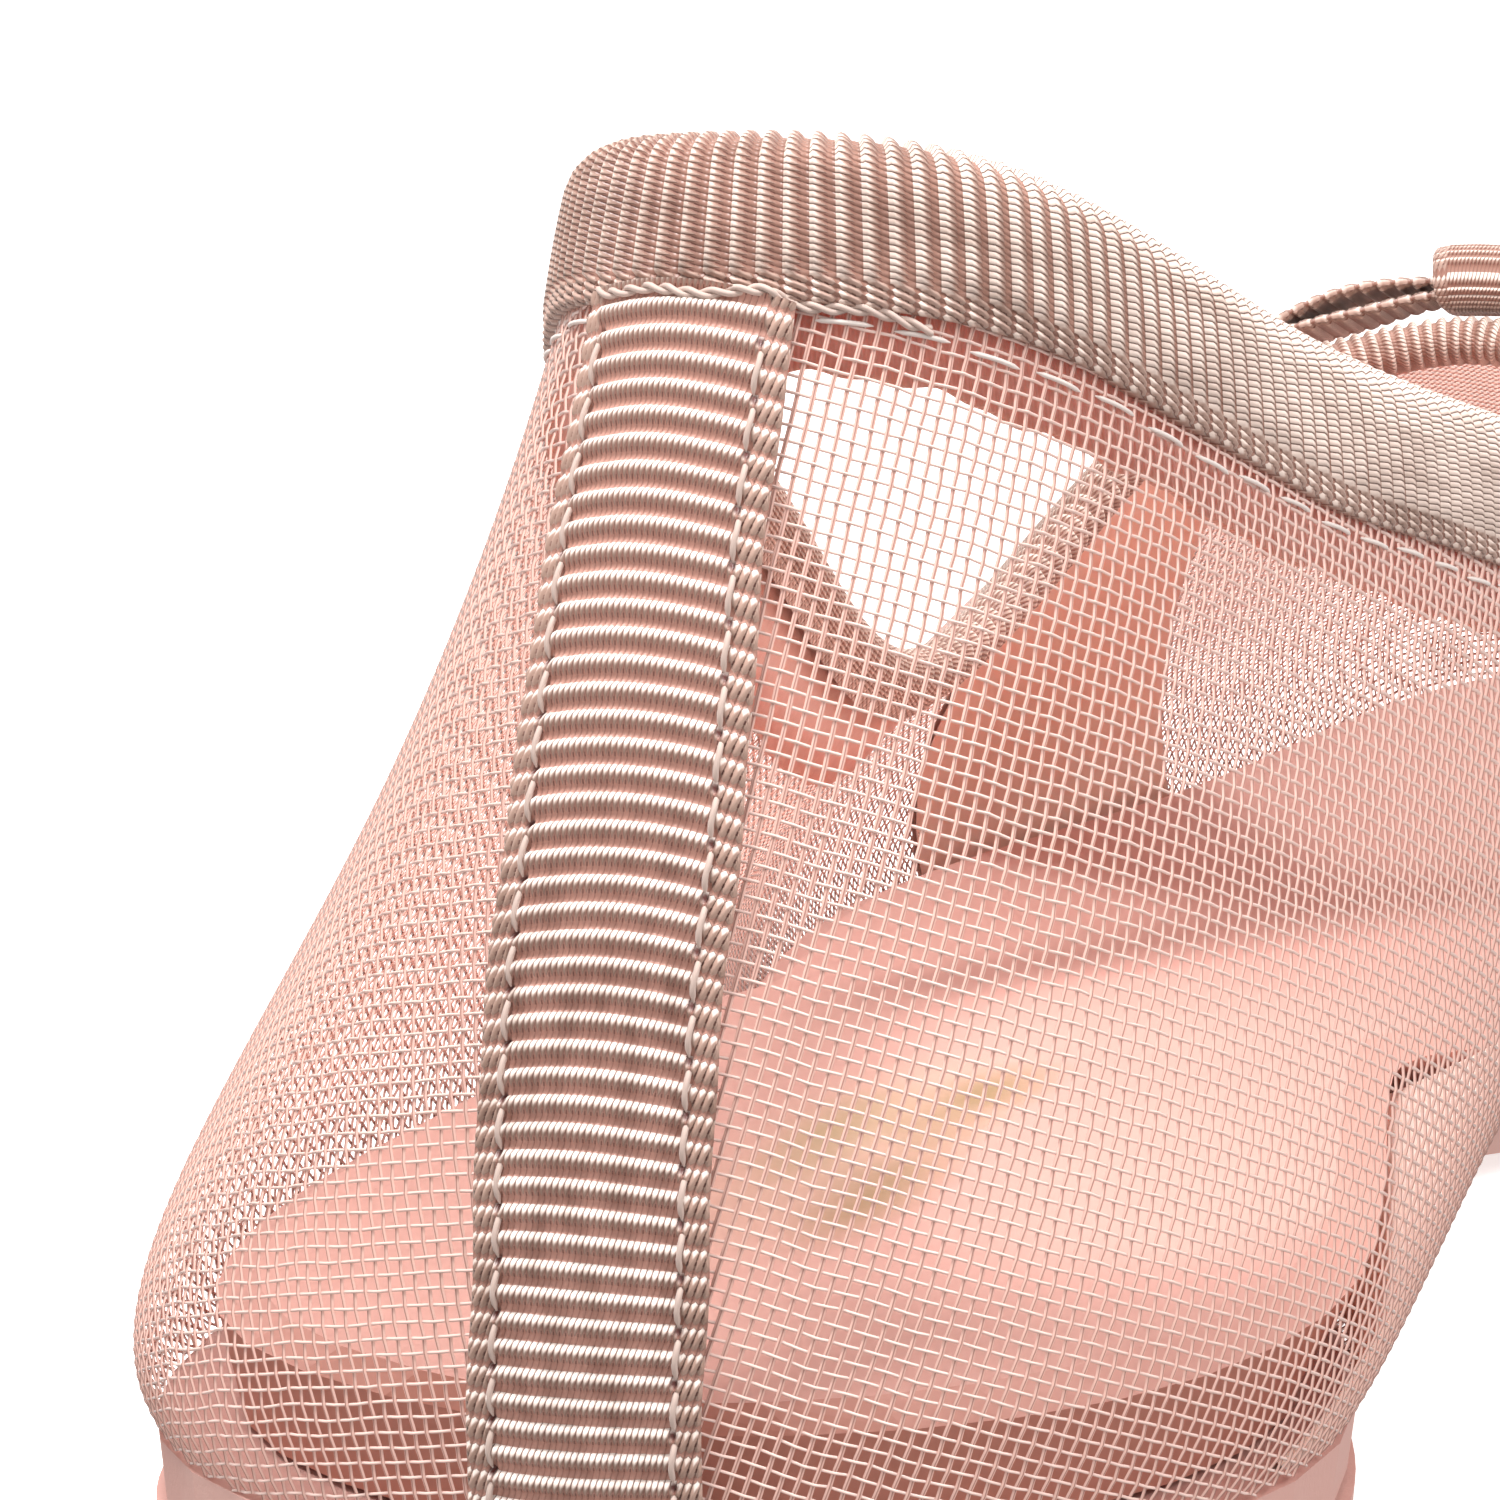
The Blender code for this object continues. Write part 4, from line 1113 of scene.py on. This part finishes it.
upright = add_node(insole_leather, "ShaderNodeMapRange", {
    "From Min": 0.35, "From Max": 0.85,
}, {"Value": height_part.outputs["Z"]})
along_part = add_node(insole_leather, "ShaderNodeSeparateXYZ", links={0: place.outputs["Position"]})
past_heel = add_node(insole_leather, "ShaderNodeMapRange", {
    "From Min": 0.025, "From Max": 0.045,
}, {"Value": along_part.outputs["Y"]})
clear_of_painted_shade = add_node(insole_leather, "ShaderNodeMath", {"operation": "MAXIMUM"}, {
    0: upright.outputs["Result"], 1: past_heel.outputs["Result"],
})
# Painted shade: faces that turn sideways, near the heel, take a deeper colour.
hide_with_painted_side_shade = add_node(insole_leather, "ShaderNodeMix", {
    "data_type": "RGBA", 6: linear("#C48A7A"),
}, {0: clear_of_painted_shade.outputs["Value"], 7: hide.outputs[2]})
STAIN_SHAPE = (2.0, 0.45, 1.0)  # long from heel to toe, narrow across
STAIN_EDGE = 0.003  # the dye's clouds draw in each edge by about this much, in metres
STAINS = (  # middle in metres, radius, colour and strength; the last is the speck
    ((-0.0030, 0.0230, 0.018), 0.0125, "#DDC0A4", 0.60),
    ((0.0008, 0.0130, 0.018), 0.0060, "#A3875F", 0.95),
    ((-0.0004, 0.0338, 0.018), 0.0058, "#A3875F", 0.90),
    ((-0.0046, 0.0240, 0.018), 0.0054, "#B9A07A", 0.80),
    ((0.0169, 0.0175, 0.018), 0.0012, "#7A5A50", 3.0),
)
base = hide_with_painted_side_shade
for spot, radius, tint, strength in STAINS:
    offset = add_node(insole_leather, "ShaderNodeVectorMath", {
        "operation": "SUBTRACT", 1: spot,
    }, {0: place.outputs["Position"]})
    drawn_out = add_node(insole_leather, "ShaderNodeVectorMath", {
        "operation": "MULTIPLY", 1: STAIN_SHAPE,
    }, {0: offset.outputs["Vector"]})
    away = add_node(insole_leather, "ShaderNodeVectorMath", {
        "operation": "LENGTH",
    }, {0: drawn_out.outputs["Vector"]})
    wobble = add_node(insole_leather, "ShaderNodeMath", {
        "operation": "MULTIPLY_ADD", 1: -2 * STAIN_EDGE,
    }, {0: clouds.outputs["Fac"], 2: away.outputs["Value"]})
    fade = add_node(insole_leather, "ShaderNodeMapRange", {
        "From Min": radius - STAIN_EDGE, "From Max": -STAIN_EDGE, "To Min": 0.0, "To Max": strength,
    }, {"Value": wobble.outputs["Value"]})
    base = add_node(insole_leather, "ShaderNodeMix", {
        "data_type": "RGBA", 7: linear(tint),
    }, {0: fade.outputs["Result"], 6: base.outputs[2]})
grain = add_node(insole_leather, "ShaderNodeBump", {
    "Strength": 0.25, "Distance": 0.0001,
}, {"Height": pores.outputs["Distance"]})
finish_material(insole_leather, add_node(insole_leather, "ShaderNodeBsdfPrincipled", {
    "Roughness": 0.72, "IOR": 1.42,
}, {"Base Color": base.outputs[2], "Normal": grain.outputs["Normal"]}))
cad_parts["insole"].data.materials.clear()
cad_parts["insole"].data.materials.append(insole_leather)


# Sole and heel
# Moulded thermoplastic rubber in a dusty pink, matt, with a cast grain about 0.45 mm wide.
# Patches of 1 to 2 cm are scuffed a little paler.
sole_rubber = new_material("moulded_rubber")
place = add_node(sole_rubber, "ShaderNodeNewGeometry")
cast = add_node(sole_rubber, "ShaderNodeTexNoise", {
    "Scale": 2200.0, "Detail": 3.0, "Roughness": 0.7,
}, {"Vector": place.outputs["Position"]})
scuffs = add_node(sole_rubber, "ShaderNodeTexNoise", {
    "Scale": 60.0, "Detail": 6.0, "Roughness": 0.7,
}, {"Vector": place.outputs["Position"]})
scuffed = add_node(sole_rubber, "ShaderNodeMapRange", {
    "From Min": 0.5, "From Max": 0.75, "To Min": 0.0, "To Max": 0.5,
}, {"Value": scuffs.outputs["Fac"]})
rubber_tone = add_node(sole_rubber, "ShaderNodeMix", {
    "data_type": "RGBA", 6: linear("#CFA096"), 7: linear("#DCB9AF"),
}, {0: scuffed.outputs["Result"]})
rubber_bump = add_node(sole_rubber, "ShaderNodeBump", {
    "Strength": 0.4, "Distance": 0.0001,
}, {"Height": cast.outputs["Fac"]})
finish_material(sole_rubber, add_node(sole_rubber, "ShaderNodeBsdfPrincipled", {
    "Roughness": 0.62, "IOR": 1.5,
}, {"Base Color": rubber_tone.outputs[2], "Normal": rubber_bump.outputs["Normal"]}))
for node_name in ("outsole", "heel"):
    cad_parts[node_name].data.materials.clear()
    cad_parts[node_name].data.materials.append(sole_rubber)
